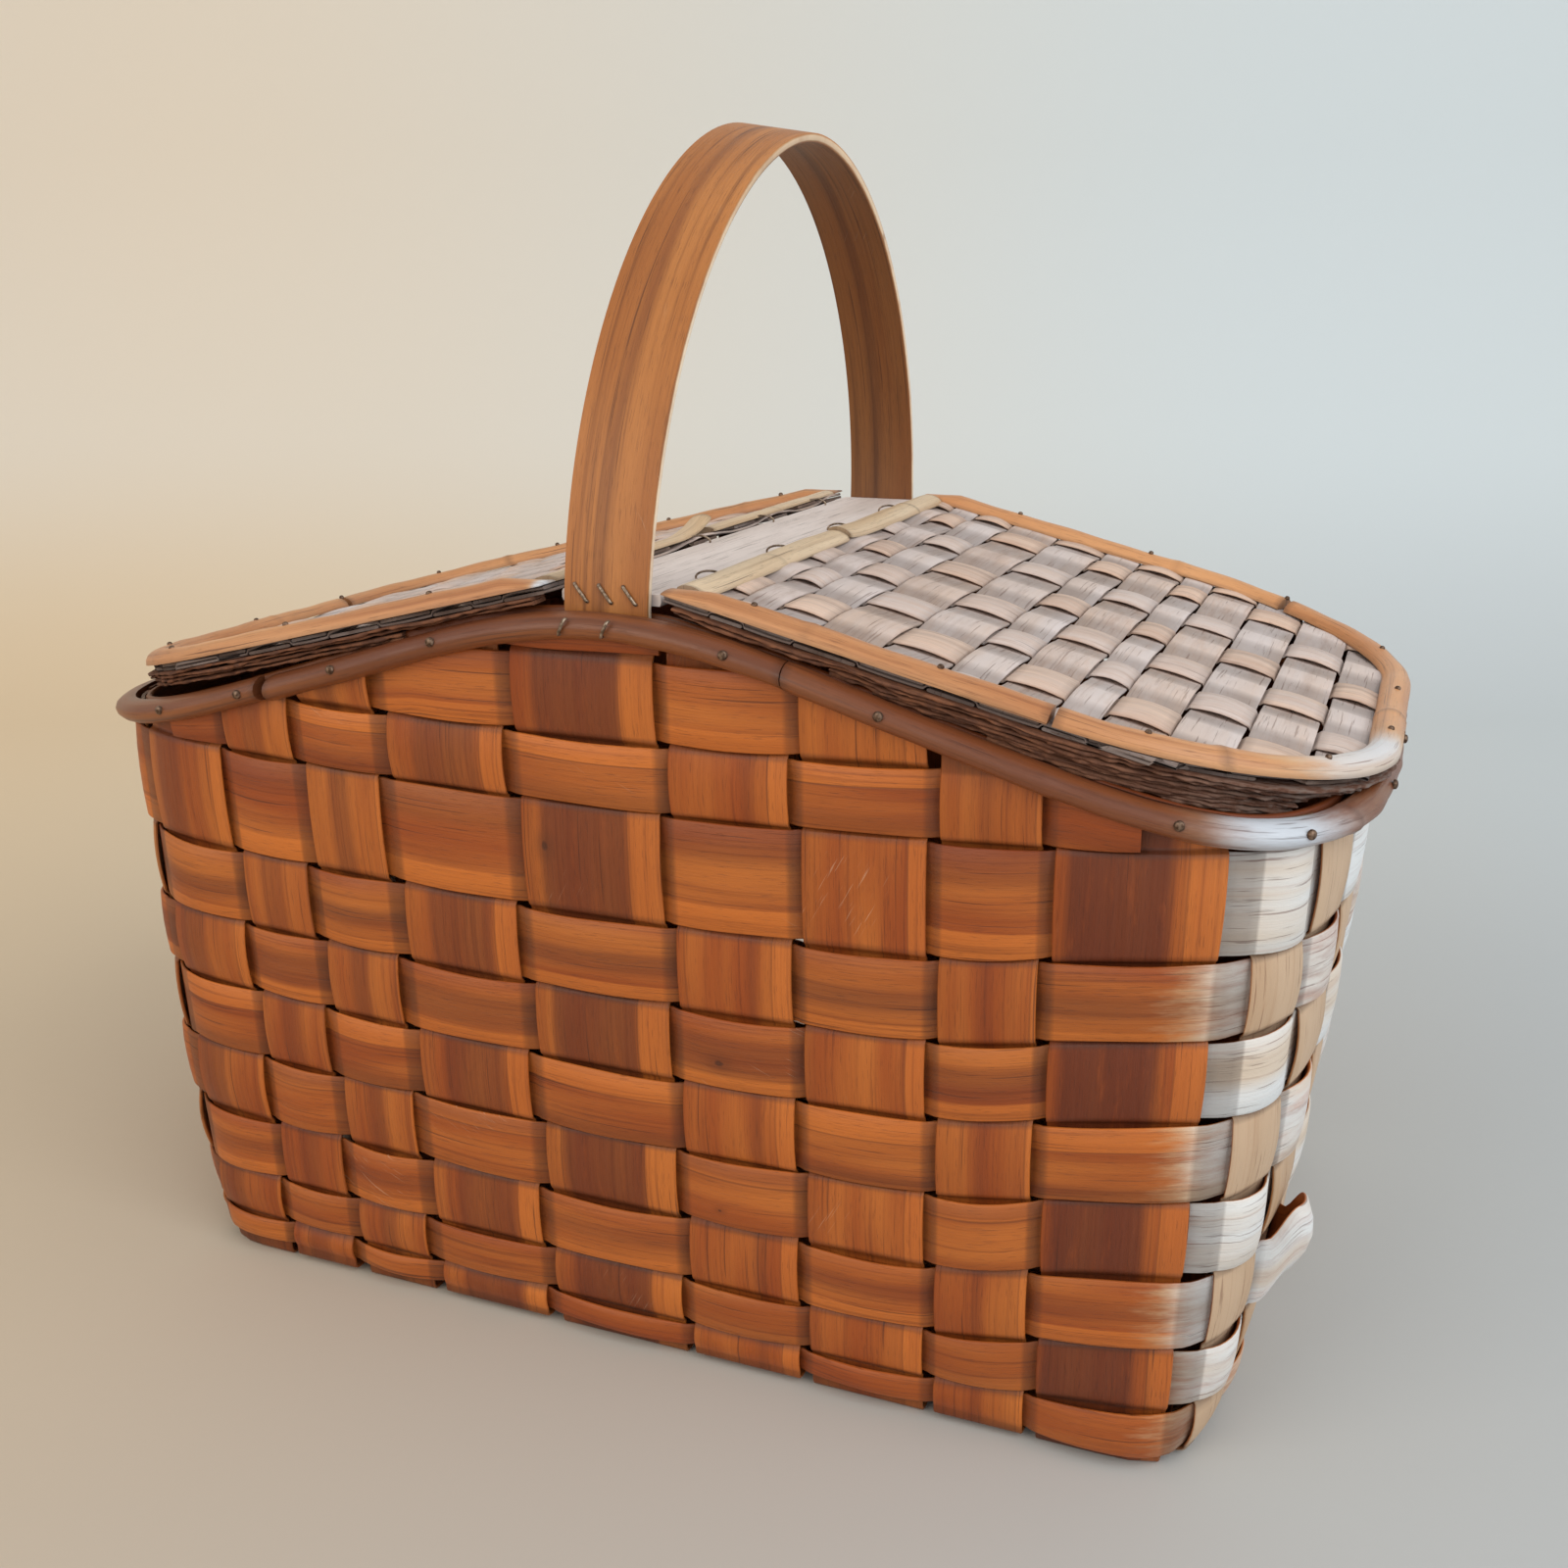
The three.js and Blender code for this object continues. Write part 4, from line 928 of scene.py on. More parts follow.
def upright_wall(upright, shares):
    """Points, directions, and painted shade with dark old varnish, down one wall from the rim to the bend."""
    rows = [row for row in range(len(ROW_EDGES)) if crosses(row, upright)]
    s_mid = round_distance(upright, shares, MIDDLE_HEIGHT)
    rim_s = round_distance(upright, shares, RIM_END_HEIGHT)
    crown = rim_height(plan_point(rim_s, np.full_like(rim_s, RIM_END_HEIGHT))[0]) + CROWN_RISE
    heights, lifts, varnish_and_shade_steps = [], [], []
    before = None
    for row in rows:
        top = row_top(row, s_mid, MIDDLE_HEIGHT)
        bottom = row_edge(ROW_EDGES[row][0], s_mid, MIDDLE_HEIGHT)
        is_out = not outside(row, upright)
        side = LAYER if is_out else -LAYER
        if before is None:
            heights.append(np.maximum(crown, top) + END_RISE)
            lifts.append(side)
            varnish_and_shade_steps.append(RIM_VARNISH_AND_SHADE)
        else:
            for share in GAP_SHARES:
                heights.append(before[0] + (top - before[0]) * share)
                lifts.append(before[1] + (side - before[1]) * smooth(share))
                varnish_and_shade_steps.append(GAP_VARNISH_AND_SHADE)
        bulge = UPRIGHT_BULGE * chance.uniform(*UNEVEN_UPRIGHT)
        for share in ROW_SHARES:
            lift, varnish_and_shade = over_lift(is_out, share, bulge, ROW_EDGES[row][1] - ROW_EDGES[row][0])
            heights.append(top + (bottom - top) * share)
            lifts.append(lift)
            varnish_and_shade_steps.append(varnish_and_shade)
        before = (bottom, side)
    heights.append(np.full_like(shares, BEND_HEIGHT))
    lifts.append(before[1])
    varnish_and_shade_steps.append(BEND_VARNISH_AND_SHADE)
    z = np.array(heights)
    s = round_distance(upright, shares[None, :], z)
    points, out = wall(s, z, np.array(lifts)[:, None] * np.ones_like(z))
    return points, out, np.array(varnish_and_shade_steps), before[1]

# %% The turn and the floor
FLOOR_INSET = 3.2
FLOOR_MIDDLE = LAYER + SPLINT_HALF
FLOOR_BULGE = 0.5
FLOOR_SHARES = np.linspace(0, 1, 5)
# Faint painted shade with dark old varnish on the floor crossings.
FLOOR_VARNISH_AND_SHADE = 0.2
TURN_STEPS = 4


def turn_under(edge, wall_lift, floor_lift, lengthwise):
    """A quarter turn from the last wall points to the floor, as points and directions."""
    axis = 0 if lengthwise else 1
    sign = np.sign(edge[:, axis])
    start = edge[:, axis]
    stop = start - sign * wall_lift - sign * FLOOR_INSET
    stop_z = FLOOR_MIDDLE - floor_lift
    points, dirs = [], []
    for step in range(1, TURN_STEPS + 1):
        share = step / TURN_STEPS
        a, b, c = (1 - share) ** 2, 2 * share * (1 - share), share**2
        point = edge.copy()
        point[:, axis] = a * start + b * start + c * stop
        point[:, 2] = a * BEND_HEIGHT + b * stop_z + c * stop_z
        turn = share * math.pi / 2
        direction = np.zeros_like(edge)
        direction[:, axis] = sign * math.cos(turn)
        direction[:, 2] = -math.sin(turn)
        points.append(point)
        dirs.append(direction)
    return np.array(points), np.array(dirs)


def floor_crossings(edges, signs, fixed, lengthwise):
    """Points over the floor. edges are the two edges of each strip crossed, in order of travel."""
    points, dirs, varnish_and_shade_steps = [], [], []
    down = np.array([0, 0, -1.0])
    for (start, stop), sign in zip(edges, signs):
        for share in FLOOR_SHARES:
            bow = 4 * share * (1 - share)
            row = np.zeros((len(fixed), 3))
            row[:, 0 if lengthwise else 1] = start + (stop - start) * share
            row[:, 1 if lengthwise else 0] = fixed
            row[:, 2] = FLOOR_MIDDLE - sign * LAYER + (FLOOR_BULGE * bow if sign < 0 else 0)
            points.append(row)
            dirs.append(np.broadcast_to(down, row.shape))
            varnish_and_shade_steps.append(FLOOR_VARNISH_AND_SHADE if 0 < share < 1 else GAP_VARNISH_AND_SHADE)
    return np.array(points), np.array(dirs), np.array(varnish_and_shade_steps)


def wall_end(wall_name, share):
    """Where an end upright's edge meets the floor, or a long wall's when share is a distance."""
    upright = {"wall": wall_name, "edges": (share, share), "lean": (0, 0)}
    s = round_distance(upright, 0.0, float(BEND_HEIGHT))
    return plan_point(s, np.array(float(BEND_HEIGHT)))

# %% One whole splint
END_HALF_SPAN = 110


def find(wall_name, number):
    return next(u for u in UPRIGHTS if u["wall"] == wall_name and u["number"] == number)


def long_splint(first_wall, second_wall, number, node, look, wood):
    """A whole splint: down one wall, under the floor and up the other wall."""
    lengthwise = first_wall == "right"
    first, second = find(first_wall, number), find(second_wall, number)
    width = first["edges"][1] - first["edges"][0]
    shares = across_shares(width * END_HALF_SPAN if lengthwise else width)
    a, a_out, a_varnish_and_shade, a_lift = upright_wall(first, shares)
    b, b_out, b_varnish_and_shade, b_lift = upright_wall(second, shares)
    if lengthwise:
        fixed = a[-1, :, 1]
        crossed = [[wall_end("front", edge)[0] for edge in edges[::-1]] for edges in CROSS_EDGES[::-1]]
        signs = [1 if (i + number) % 2 else -1 for i in range(len(CROSS_EDGES), 0, -1)]
    else:
        fixed = a[-1, :, 0]
        crossed = [[wall_end("right", share)[1] for share in pair] for pair in END_SHARES]
        signs = [-1 if (number + j) % 2 else 1 for j in range(1, len(END_SHARES) + 1)]
    floor, floor_out, floor_varnish_and_shade = floor_crossings(crossed, signs, fixed, lengthwise)
    down, down_out = turn_under(a[-1], a_lift, signs[0] * LAYER, lengthwise)
    up, up_out = turn_under(b[-1], b_lift, signs[-1] * LAYER, lengthwise)
    middle = np.concatenate([a, down, floor, up[::-1], b[::-1]])
    out = np.concatenate([a_out, down_out, floor_out, up_out[::-1], b_out[::-1]])
    # The turns under the floor are darkened as in a gap, with painted shade and dark old varnish.
    turn_varnish_and_shade = np.full(TURN_STEPS, GAP_VARNISH_AND_SHADE)
    varnish_and_shade = np.concatenate([a_varnish_and_shade, turn_varnish_and_shade, floor_varnish_and_shade, turn_varnish_and_shade, b_varnish_and_shade[::-1]])
    look = {**look, "varnish_and_shade": varnish_and_shade, "bleach_and_sheen": look["bleach_and_sheen"](middle[:, 3]), "inner_bleach": INSIDE_BLEACH}
    return hand_in(splint(node + "_wood", middle, out, look, wood), "basket", [node])

# %% All long splints
CROSS_HEART = [
    (-13, -1, 0.5), (-6, 3, 0.4), (-5, 3, 0.5), (-12, 12, 0.6), (-17, 13, 0.7), (4, 8, 0.35),
    (-19, -16, 0.2), (-3, 1, 0.3), (-20, 9, 0.85),
]
CROSS_SAP = (13, 40, 0.6)
CROSS_KNOT = {5: (77, -16, 1.5), 7: (262, 6, 0.9), 4: (58, -8, 1.0)}
CROSS_TONE = [-0.1, 0.2, 0.1, 0.2, -0.1, 0.45, 0.5, 0.25, 0.0]
END_HEARTS = {True: (-3, 5, 0.5), False: (-8, -2, 0.6)}
END_TONE = 0.1
END_BLEACH = 0.85
for number in range(1, len(CROSS_EDGES) + 1):
    look = {
        "seed": 101 + 7.9 * number, "tone": CROSS_TONE[number - 1], "bleach_and_sheen": wall_bleach(0.0),
        "heart": CROSS_HEART[number - 1], "sap": CROSS_SAP, "knot": CROSS_KNOT.get(number, NO_MARK),
    }
    long_splint("front", "back", number, f"cross_splint_{number}", look, HONEY)
for number in range(1, len(END_SHARES) + 1):
    look = {
        "seed": 301 + 5.3 * number, "tone": END_TONE, "bleach_and_sheen": wall_bleach(END_BLEACH),
        "heart": END_HEARTS[number % 2 == 1],
    }
    long_splint("right", "left", number, f"lengthwise_splint_{number}", look, END_WOOD)
print("long splints:", len(CROSS_EDGES) + len(END_SHARES))

# %% [markdown]
# ## Rods of split cane
#
# The rim is finished with a rod of split cane: round on the outside, flat where it lies against
# the wall. It is thin enough to bend round the corners. A half-round section swept along the rim
# gives its shape, in lengths that meet end to end; on the real rim those cuts are slanted, here
# they are square. A few small swellings in each length are the cane's own joints.

# %% A half-round strip along a line
ROD_ANGLES = np.linspace(0, math.pi, 9)
ROD_UNROLLED = 4.5
LONG_SWELL = (0.035, 9.1)
SHORT_SWELL = (0.02, 3.7)
JOINT_SWELL = (0.09, 1.6)
JOINT_SOIL = (0.5, 0.9)
ROD_EDGE_VARNISH_AND_SHADE = 0.4
CUT_END_DARKENING = 0.5


def bell(distance, width):
    return np.exp(-((distance / width) ** 2))


def half_round(name, base, side, up, half, height, look, material):
    """base is the middle of the flat face. half and height may change along the rod."""
    u = travelled(base)
    half = np.broadcast_to(np.asarray(half, float), u.shape)
    height = np.broadcast_to(np.asarray(height, float), u.shape)
    rough = 1 + LONG_SWELL[0] * np.sin(u / LONG_SWELL[1] + look["seed"])
    rough = rough + SHORT_SWELL[0] * np.sin(u / SHORT_SWELL[1] + 2 * look["seed"])
    for joint in look["joints"]:
        rough = rough + JOINT_SWELL[0] * bell(u - joint, JOINT_SWELL[1])
    half, height = half * (0.5 + 0.5 * rough), height * rough
    c, s = np.cos(ROD_ANGLES), np.sin(ROD_ANGLES)
    flat = side[:, None] * (half[:, None] * c)[..., None]
    raised = up[:, None] * (height[:, None] * s)[..., None]
    curve = base[:, None] + flat + raised
    count = len(ROD_ANGLES)
    v = np.broadcast_to(ROD_ANGLES * ROD_UNROLLED, (len(u), count))
    grain = np.stack([np.repeat(u[:, None], count, 1), v, np.full(v.shape, look["seed"])], -1)
    grain[..., :2] *= MM
    marks = mark_notes(look, grain.shape)
    # Darkening: painted shade with dark old varnish along both edges of the flat face, the cane's own darker
    # joints, and darker cut ends.
    varnish_and_shade = np.zeros(v.shape)
    varnish_and_shade[:, 0] = varnish_and_shade[:, -1] = ROD_EDGE_VARNISH_AND_SHADE
    for joint in look["joints"]:
        varnish_and_shade = np.maximum(varnish_and_shade, bell(u - joint, JOINT_SOIL[1])[:, None] * JOINT_SOIL[0])
    for end in look.get("dark_ends", (0, -1)):
        varnish_and_shade[end] = CUT_END_DARKENING
    bleach_and_sheen = np.broadcast_to(np.asarray(look["bleach_and_sheen"], float).reshape(-1, 1), v.shape)
    wear_shade_and_sheen = np.stack([np.full(v.shape, look["tone"]), bleach_and_sheen, varnish_and_shade], -1)
    faces = tube_faces(len(u), count, False)
    return new_piece(name, curve, faces, material, {"grain": grain, "wear_shade_and_sheen": wear_shade_and_sheen, **marks})

# %% The rim rod, in lengths laid end to end
ROD_HALF = 4.25
ROD_DEPTH = 7
ROD_CLEARANCE = 0.3
RIM_FACE = LAYER + SPLINT_HALF + ROD_CLEARANCE
ROD_STEP = 3
RIM_WHOLE = 4 * float(quarter(RIM_END_HEIGHT))
RIM_JOINTS = [-121, 59, 330, 612, 900]
JOINT_GAP = 0.25
RIM_SHINE = 0.75
RIM_SHINE_PLACE = 192
RIM_SHINE_WIDTH = 22
# Its bluish grey serves bare cane and the painted highlight near the right front corner.
CANE = splint_wood(
    "rim_cane", light=(146, 86, 46), middle=(114, 60, 32), dark=(62, 29, 16),
    heart=(76, 38, 20), grey=(196, 200, 206), cream=(150, 112, 84), gloss=0.32, coat=0.25,
)


def rim_line(start, stop, offset, lift=0.0):
    """Points round the rim between two distances, with outward directions."""
    s = np.linspace(start, stop, int((stop - start) / ROD_STEP) + 2)
    x, _ = plan_point(s, np.full_like(s, RIM_END_HEIGHT))
    return wall(s, rim_height(x) + lift, np.full_like(s, offset))


for k, start in enumerate(RIM_JOINTS):
    stop = RIM_JOINTS[k + 1] if k + 1 < len(RIM_JOINTS) else RIM_JOINTS[0] + RIM_WHOLE
    base, out = rim_line(start + JOINT_GAP, stop - JOINT_GAP, RIM_FACE)
    side = np.broadcast_to(np.array([0, 0, 1.0]), base.shape)
    # Painted highlight: near the right front corner the rod is made silvery, as where the window is
    # reflected.
    shine = RIM_SHINE * bell(base[:, 0] - RIM_SHINE_PLACE, RIM_SHINE_WIDTH) * (base[:, 1] < 0)
    look = {
        "seed": 41.0 + 3.3 * k, "tone": 0.25 * (k % 2), "heart": (3, 7, 0.35), "bleach_and_sheen": FAINT_BLEACH + shine,
        "joints": [stop - start - 40 - 60 * k, 70 + 9 * k],
    }
    rod = half_round(f"rim_rod_{k + 1}", base, side, out, ROD_HALF, ROD_DEPTH, look, CANE)
    hand_in(rod, "basket", ["rim_rod"])
print("rim rod lengths:", len(RIM_JOINTS))

# %% [markdown]
# The band inside the rim is a plain flat splint that clamps the ends of the uprights against the
# rod. It has to step inward to pass behind each leg of the handle.

# %% The inner band
BAND_HALF = 4
BAND_DEPTH = 2.6
BAND_SHARES = np.array([0, 0.1, 0.5, 0.9, 1.0])
BAND_STATIONS = 420
HANDLE_HALF_WIDTH = 14
LEG_STEP = 3.3
LEG_ROOM = 2
LEG_EASING = 20
# The whole inner band is made evenly darker.
BAND_DARKENING = 0.6


def inner_band():
    s = np.linspace(0, RIM_WHOLE, BAND_STATIONS, endpoint=False)
    x, _ = plan_point(s, np.full_like(s, RIM_END_HEIGHT))
    past_leg = np.clip((np.abs(x) - HANDLE_HALF_WIDTH - LEG_ROOM) / LEG_EASING, 0, 1)
    step = LEG_STEP * (1 - smooth(past_leg))
    z = rim_height(x)[:, None] + (BAND_SHARES[None, :] * 2 - 1) * BAND_HALF
    offset = -(RIM_FACE + BAND_DEPTH / 2 + step)[:, None] * np.ones_like(z)
    middle, out = wall(np.repeat(s[:, None], len(BAND_SHARES), 1), z, offset)
    look = {"seed": 71.0, "tone": -0.3, "varnish_and_shade": np.full(len(s), BAND_DARKENING), "bleach_and_sheen": 0.0}
    return splint("inner_band", middle, out, look, HONEY, closed=True, half=BAND_DEPTH / 2)


band = hand_in(inner_band(), "basket", ["rim_band_inner"])
print("points in the inner band:", len(band.data.vertices))

# %% [markdown]
# ## The handle
#
# The handle is one flat splint, thick enough to carry the load, that was steamed and bent over.
# Its legs stay straight and go down inside the rim. Seen from the end of the basket it is nearly
# half an ellipse, a little more pointed, and it leans slightly to the back, so a superellipse with
# a sideways shift fits. Years of hands and knocks have bared the wood along its two edges.

# %% Line of the handle
HANDLE_HALF = 1.5
HANDLE_TOP = 403
HANDLE_SPRING = 259
HANDLE_FOOT = 206
HANDLE_POWER = 1.9
HANDLE_LEAN = 12
HANDLE_TWIST = math.radians(9)
HANDLE_STEPS = 90
LEG_STEPS = 7


def handle_line():
    """y, z and twist from the front foot over the top to the back foot."""
    leg = RIM_HALF_WIDTH - RIM_FACE - HANDLE_HALF
    foot = half_width(HANDLE_FOOT) - RIM_FACE - HANDLE_HALF
    turn = np.linspace(0, math.pi, HANDLE_STEPS + 1)
    across = np.sign(np.cos(turn)) * np.abs(np.cos(turn)) ** (2 / HANDLE_POWER)
    rise = np.clip(np.sin(turn), 0, 1) ** (2 / HANDLE_POWER)
    y = -leg * across + HANDLE_LEAN * rise
    z = HANDLE_SPRING + (HANDLE_TOP - HANDLE_HALF - HANDLE_SPRING) * rise
    legs = np.linspace(0, 1, LEG_STEPS + 1)[:-1]
    low_y = -foot + (y[0] + foot) * legs
    low_z = HANDLE_FOOT + (z[0] - HANDLE_FOOT) * legs
    high_y = foot + (y[-1] - foot) * legs
    still = np.zeros(len(legs))
    twist = np.concatenate([still, HANDLE_TWIST * rise, still])
    return np.concatenate([low_y, y, high_y[::-1]]), np.concatenate([low_z, z, low_z[::-1]]), twist

# %% The handle, darker inside and bleached at its edges
HANDLE_POINTS = 7
HANDLE_BLEACH = 0.12
EDGE_BLEACH = 0.75
INNER_TONE = -0.9
INNER_DARKENING = 0.5


def handle():
    y, z, twist = handle_line()
    dy, dz = np.gradient(y), np.gradient(z)
    size = np.hypot(dy, dz)
    away = np.stack([np.zeros_like(y), -dz / size, dy / size], -1)
    sideways = np.array([1.0, 0, 0])
    across = np.cos(twist)[:, None] * sideways - np.sin(twist)[:, None] * away
    out = np.cos(twist)[:, None] * away + np.sin(twist)[:, None] * sideways
    x = (across_shares(2 * HANDLE_HALF_WIDTH, HANDLE_POINTS) * 2 - 1) * HANDLE_HALF_WIDTH
    line = np.stack([np.zeros_like(y), y, z], -1)
    middle = line[:, None] + across[:, None] * x[None, :, None]
    out = np.repeat(out[:, None], len(x), 1)
    look = {
        "seed": 57.0, "tone": 0.15, "heart": (-3.5, 0.5, 0.55), "varnish_and_shade": np.zeros(len(y)),
        "bleach_and_sheen": HANDLE_BLEACH,
    }
    made = splint("handle_splint", middle, out, look, HANDLE_WOOD, half=HANDLE_HALF)
    wear_shade_and_sheen = np.zeros(len(made.data.vertices) * 3, np.float32)
    layer = made.data.attributes["wear_shade_and_sheen"].data
    layer.foreach_get("vector", wear_shade_and_sheen)
    wear_shade_and_sheen = wear_shade_and_sheen.reshape(len(y), 2, len(x), 3)
    wear_shade_and_sheen[:, 1, 1:-1, 0] = INNER_TONE
    wear_shade_and_sheen[:, 1, 1:-1, 2] = INNER_DARKENING
    wear_shade_and_sheen[:, :, 0, 1] = wear_shade_and_sheen[:, :, -1, 1] = EDGE_BLEACH
    layer.foreach_set("vector", wear_shade_and_sheen.ravel())
    return made


hand_in(handle(), "basket", ["handle"])
print("handle rises to", HANDLE_TOP, "mm")

# %% [markdown]
# ## The lids
#
# Each lid is a small flat weave of its own, held between a half-round cane rod above and a strip
# of rough bark below. It is drawn in its own plane, measured along the slope from the hinge, and
# one function carries every point to its place. The left lid is the right one turned half round.

# %% The plane of a lid
HINGE_X = 17.8
HINGE_Z = 264
LID_HALF_WIDTH = 133
LID_UNDERSIDE = 1.2
BARK_GAP = 0.3
BARK_SOLID = 2
LID_CLEARANCE = 0.9
LID_DEPTH = LID_UNDERSIDE + BARK_GAP + BARK_SOLID + LID_CLEARANCE
LID_OVERHANG = 8
LID_CORNER = 90
SLOPE_STEPS = 120


def slope_over_rim():
    """The steepest slope at which the underside of a lid still clears the rim rod."""
    out = (RIM_HALF_LENGTH - HINGE_X) * np.arange(1, SLOPE_STEPS + 1) / SLOPE_STEPS
    down = HINGE_Z - rim_height(HINGE_X + out) - ROD_HALF
    return float(np.min(np.arccos(LID_DEPTH / np.hypot(out, down)) - np.arctan2(out, down)))


LID_SLOPE = slope_over_rim()
LID_LENGTH = (RIM_HALF_LENGTH + LID_OVERHANG - HINGE_X) / math.cos(LID_SLOPE)
SIGNS = {"right": 1, "left": -1}


def lid_point(side, t, v, w):
    """t is the distance out from the hinge, v along the hinge and w up from the lid's middle."""
    t, v, w = np.broadcast_arrays(*(np.asarray(value, float) for value in (t, v, w)))
    x = HINGE_X + t * math.cos(LID_SLOPE) + w * math.sin(LID_SLOPE)
    z = HINGE_Z - t * math.sin(LID_SLOPE) + w * math.cos(LID_SLOPE)
    return np.stack([SIGNS[side] * x, SIGNS[side] * v, z], -1)


def lid_normal(side):
    return np.array([SIGNS[side] * math.sin(LID_SLOPE), 0, math.cos(LID_SLOPE)])


def lid_direction(side, t, v):
    return lid_point(side, t, v, 0) - lid_point(side, np.zeros_like(t), np.zeros_like(v), 0)


def lid_reach(v, inset):
    """How far out the lid goes at a distance from its middle line."""
    radius = LID_CORNER - inset
    past = np.clip(np.abs(v) - (LID_HALF_WIDTH - LID_CORNER), 0, radius)
    return LID_LENGTH - LID_CORNER + np.sqrt(radius**2 - past**2)


def lid_width(t, inset):
    """Half the lid's width at a distance out from the hinge."""
    radius = LID_CORNER - inset
    past = np.clip(t - (LID_LENGTH - LID_CORNER), 0, radius)
    return LID_HALF_WIDTH - LID_CORNER + np.sqrt(radius**2 - past**2)


print("the lids slope at", round(math.degrees(LID_SLOPE), 2), "degrees and are", round(LID_LENGTH), "mm long")

# %% Where a lid's strips lie
LID_HALF = 0.5
LID_LAYER = 0.62
LID_INSET = 2.5
LID_START = 2.0
LID_CROSS_SHARES = [
    (0.0093, 0.0776), (0.0813, 0.1299), (0.1336, 0.2019), (0.2065, 0.2972), (0.3028, 0.3939), (0.4, 0.4664),
    (0.472, 0.5533), (0.5589, 0.614), (0.6196, 0.7009), (0.7065, 0.7897), (0.7963, 0.8813), (0.8879, 0.963),
]
LID_CROSS_EDGES = [(LID_LENGTH * a, LID_LENGTH * b) for a, b in LID_CROSS_SHARES]
LID_LONG_EDGES = [
    (-130.5, -112), (-100, -79), (-66, -46), (-33, -13), (4, 24), (43, 62.5), (86, 105.5), (117, 130.5)
]


def cross_limits(place):
    return -lid_width(place, LID_INSET), lid_width(place, LID_INSET)


def long_limits(place):
    return np.full_like(place, LID_START), lid_reach(place, LID_INSET)

# %% The course of a strip
LID_BULGE = {"cross": 0.8, "long": 1.3}
LID_HIDDEN_BULGE = 0.3
LID_OVER_SHARES = np.linspace(0, 1, 7)
UNEVEN_STRIP = (0.7, 1.3)
# Painted shade with dark old varnish in the gaps between strips and at the edges of each crossing.
LID_GAP_VARNISH_AND_SHADE = 0.4
LID_CROSSING_VARNISH_AND_SHADE = 0.25
LID_CROSSING_SHADE_WIDTH = 1.5


def strip_course(crossings, signs, bulge_size):
    """Place along the strip, lift, and painted shade with dark old varnish, crossing by crossing."""
    along, lift, varnish_and_shade = [], [], []
    before = None
    for (start, stop), sign in zip(crossings, signs):
        if before is not None:
            for share in BETWEEN_SHARES:
                along.append(before[0] + (start - before[0]) * share)
                lift.append(LID_LAYER * (before[1] + (sign - before[1]) * smooth(share)))
                varnish_and_shade.append(LID_GAP_VARNISH_AND_SHADE)
        bulge = bulge_size * chance.uniform(*UNEVEN_STRIP)
        for share in LID_OVER_SHARES:
            bow = 4 * share * (1 - share)
            edge = min(share, 1 - share) * (stop - start)
            along.append(start + (stop - start) * share)
            lift.append(LID_LAYER + bulge * bow if sign > 0 else -LID_LAYER - LID_HIDDEN_BULGE * bow)
            varnish_and_shade.append(LID_CROSSING_VARNISH_AND_SHADE * max(0, 1 - edge / LID_CROSSING_SHADE_WIDTH))
        before = (stop, sign)
    return np.array(along), np.array(lift), np.array(varnish_and_shade)


# %% One strip of a lid
LID_POINTS = 4
LID_CUP = 0.35
FLATTENED = 12
STRETCH = 18
STRIP_MARGIN = 1
# Painted shade with dark old varnish at a strip's two ends and under the lid's rod.
STRIP_END_VARNISH_AND_SHADE = 0.8
STRIP_NEAR_END = (0.7, 9)
ROD_COVER = 4
UNDER_ROD = (0.8, 8)


def lid_strip(side, edges, crossings, signs, limits, kind, name, look):
    """One strip of a lid. limits gives, for each place across, where the strip ends."""
    shares = across_shares(edges[1] - edges[0], LID_POINTS)
    place = edges[0] + (edges[1] - edges[0]) * shares
    low, high = limits(place)
    along, lift, varnish_and_shade = strip_course(crossings, signs, LID_BULGE[kind])
    keep = (along > low.min() + STRIP_MARGIN) & (along < high.max() - STRIP_MARGIN)
    along = np.concatenate([[low.min()], along[keep], [high.max()]])
    lift = np.concatenate([[lift[keep][0]], lift[keep], [lift[keep][-1]]])
    # Painted shade with dark old varnish darkens the strip towards its two ends.
    varnish_and_shade = np.concatenate([[STRIP_END_VARNISH_AND_SHADE], varnish_and_shade[keep], [STRIP_END_VARNISH_AND_SHADE]])
    from_end = np.minimum(along - along[0], along[-1] - along)
    varnish_and_shade = np.maximum(varnish_and_shade, STRIP_NEAR_END[0] * np.clip(1 - from_end / STRIP_NEAR_END[1], 0, 1))
    grid = np.repeat(along[:, None], len(place), 1)
    start, stop = along[0] + STRETCH, along[-1] - STRETCH
    grid = np.where(grid < start, start - (start - grid) * (start - low) / STRETCH, grid)
    grid = np.where(grid > stop, stop + (grid - stop) * (high - stop) / STRETCH, grid)
    flat = np.clip(np.minimum(grid - low, high - grid) / FLATTENED, 0, 1)
    top = np.sign(lift)[:, None] * LID_LAYER
    raised = lift[:, None] - top
    cup = 1 - LID_CUP * (2 * shares - 1) ** 2
    w = np.where(np.abs(lift[:, None]) > LID_LAYER, top + raised * flat * cup, lift[:, None] + 0 * grid)
    across = np.broadcast_to(place, grid.shape)
    t, v = (across, grid) if kind == "cross" else (grid, across)
    middle = lid_point(side, t, v, w)
    out = np.broadcast_to(lid_normal(side), middle.shape)
    # Painted shade: the strip darkens where it runs under the rod along the lid's edge.
    from_edge = np.minimum(lid_reach(v, 0) - t, LID_HALF_WIDTH - np.abs(v))
    under_rod = UNDER_ROD[0] * np.clip(1 - (from_edge - ROD_COVER) / UNDER_ROD[1], 0, 1)
    look = {**look, "varnish_and_shade": np.maximum(varnish_and_shade[:, None], under_rod)}
    made = splint(name, middle, out, look, LID_WOOD, half=LID_HALF)
    return hand_in(made, f"lid_{side}", [f"lid_panel_{side}"])

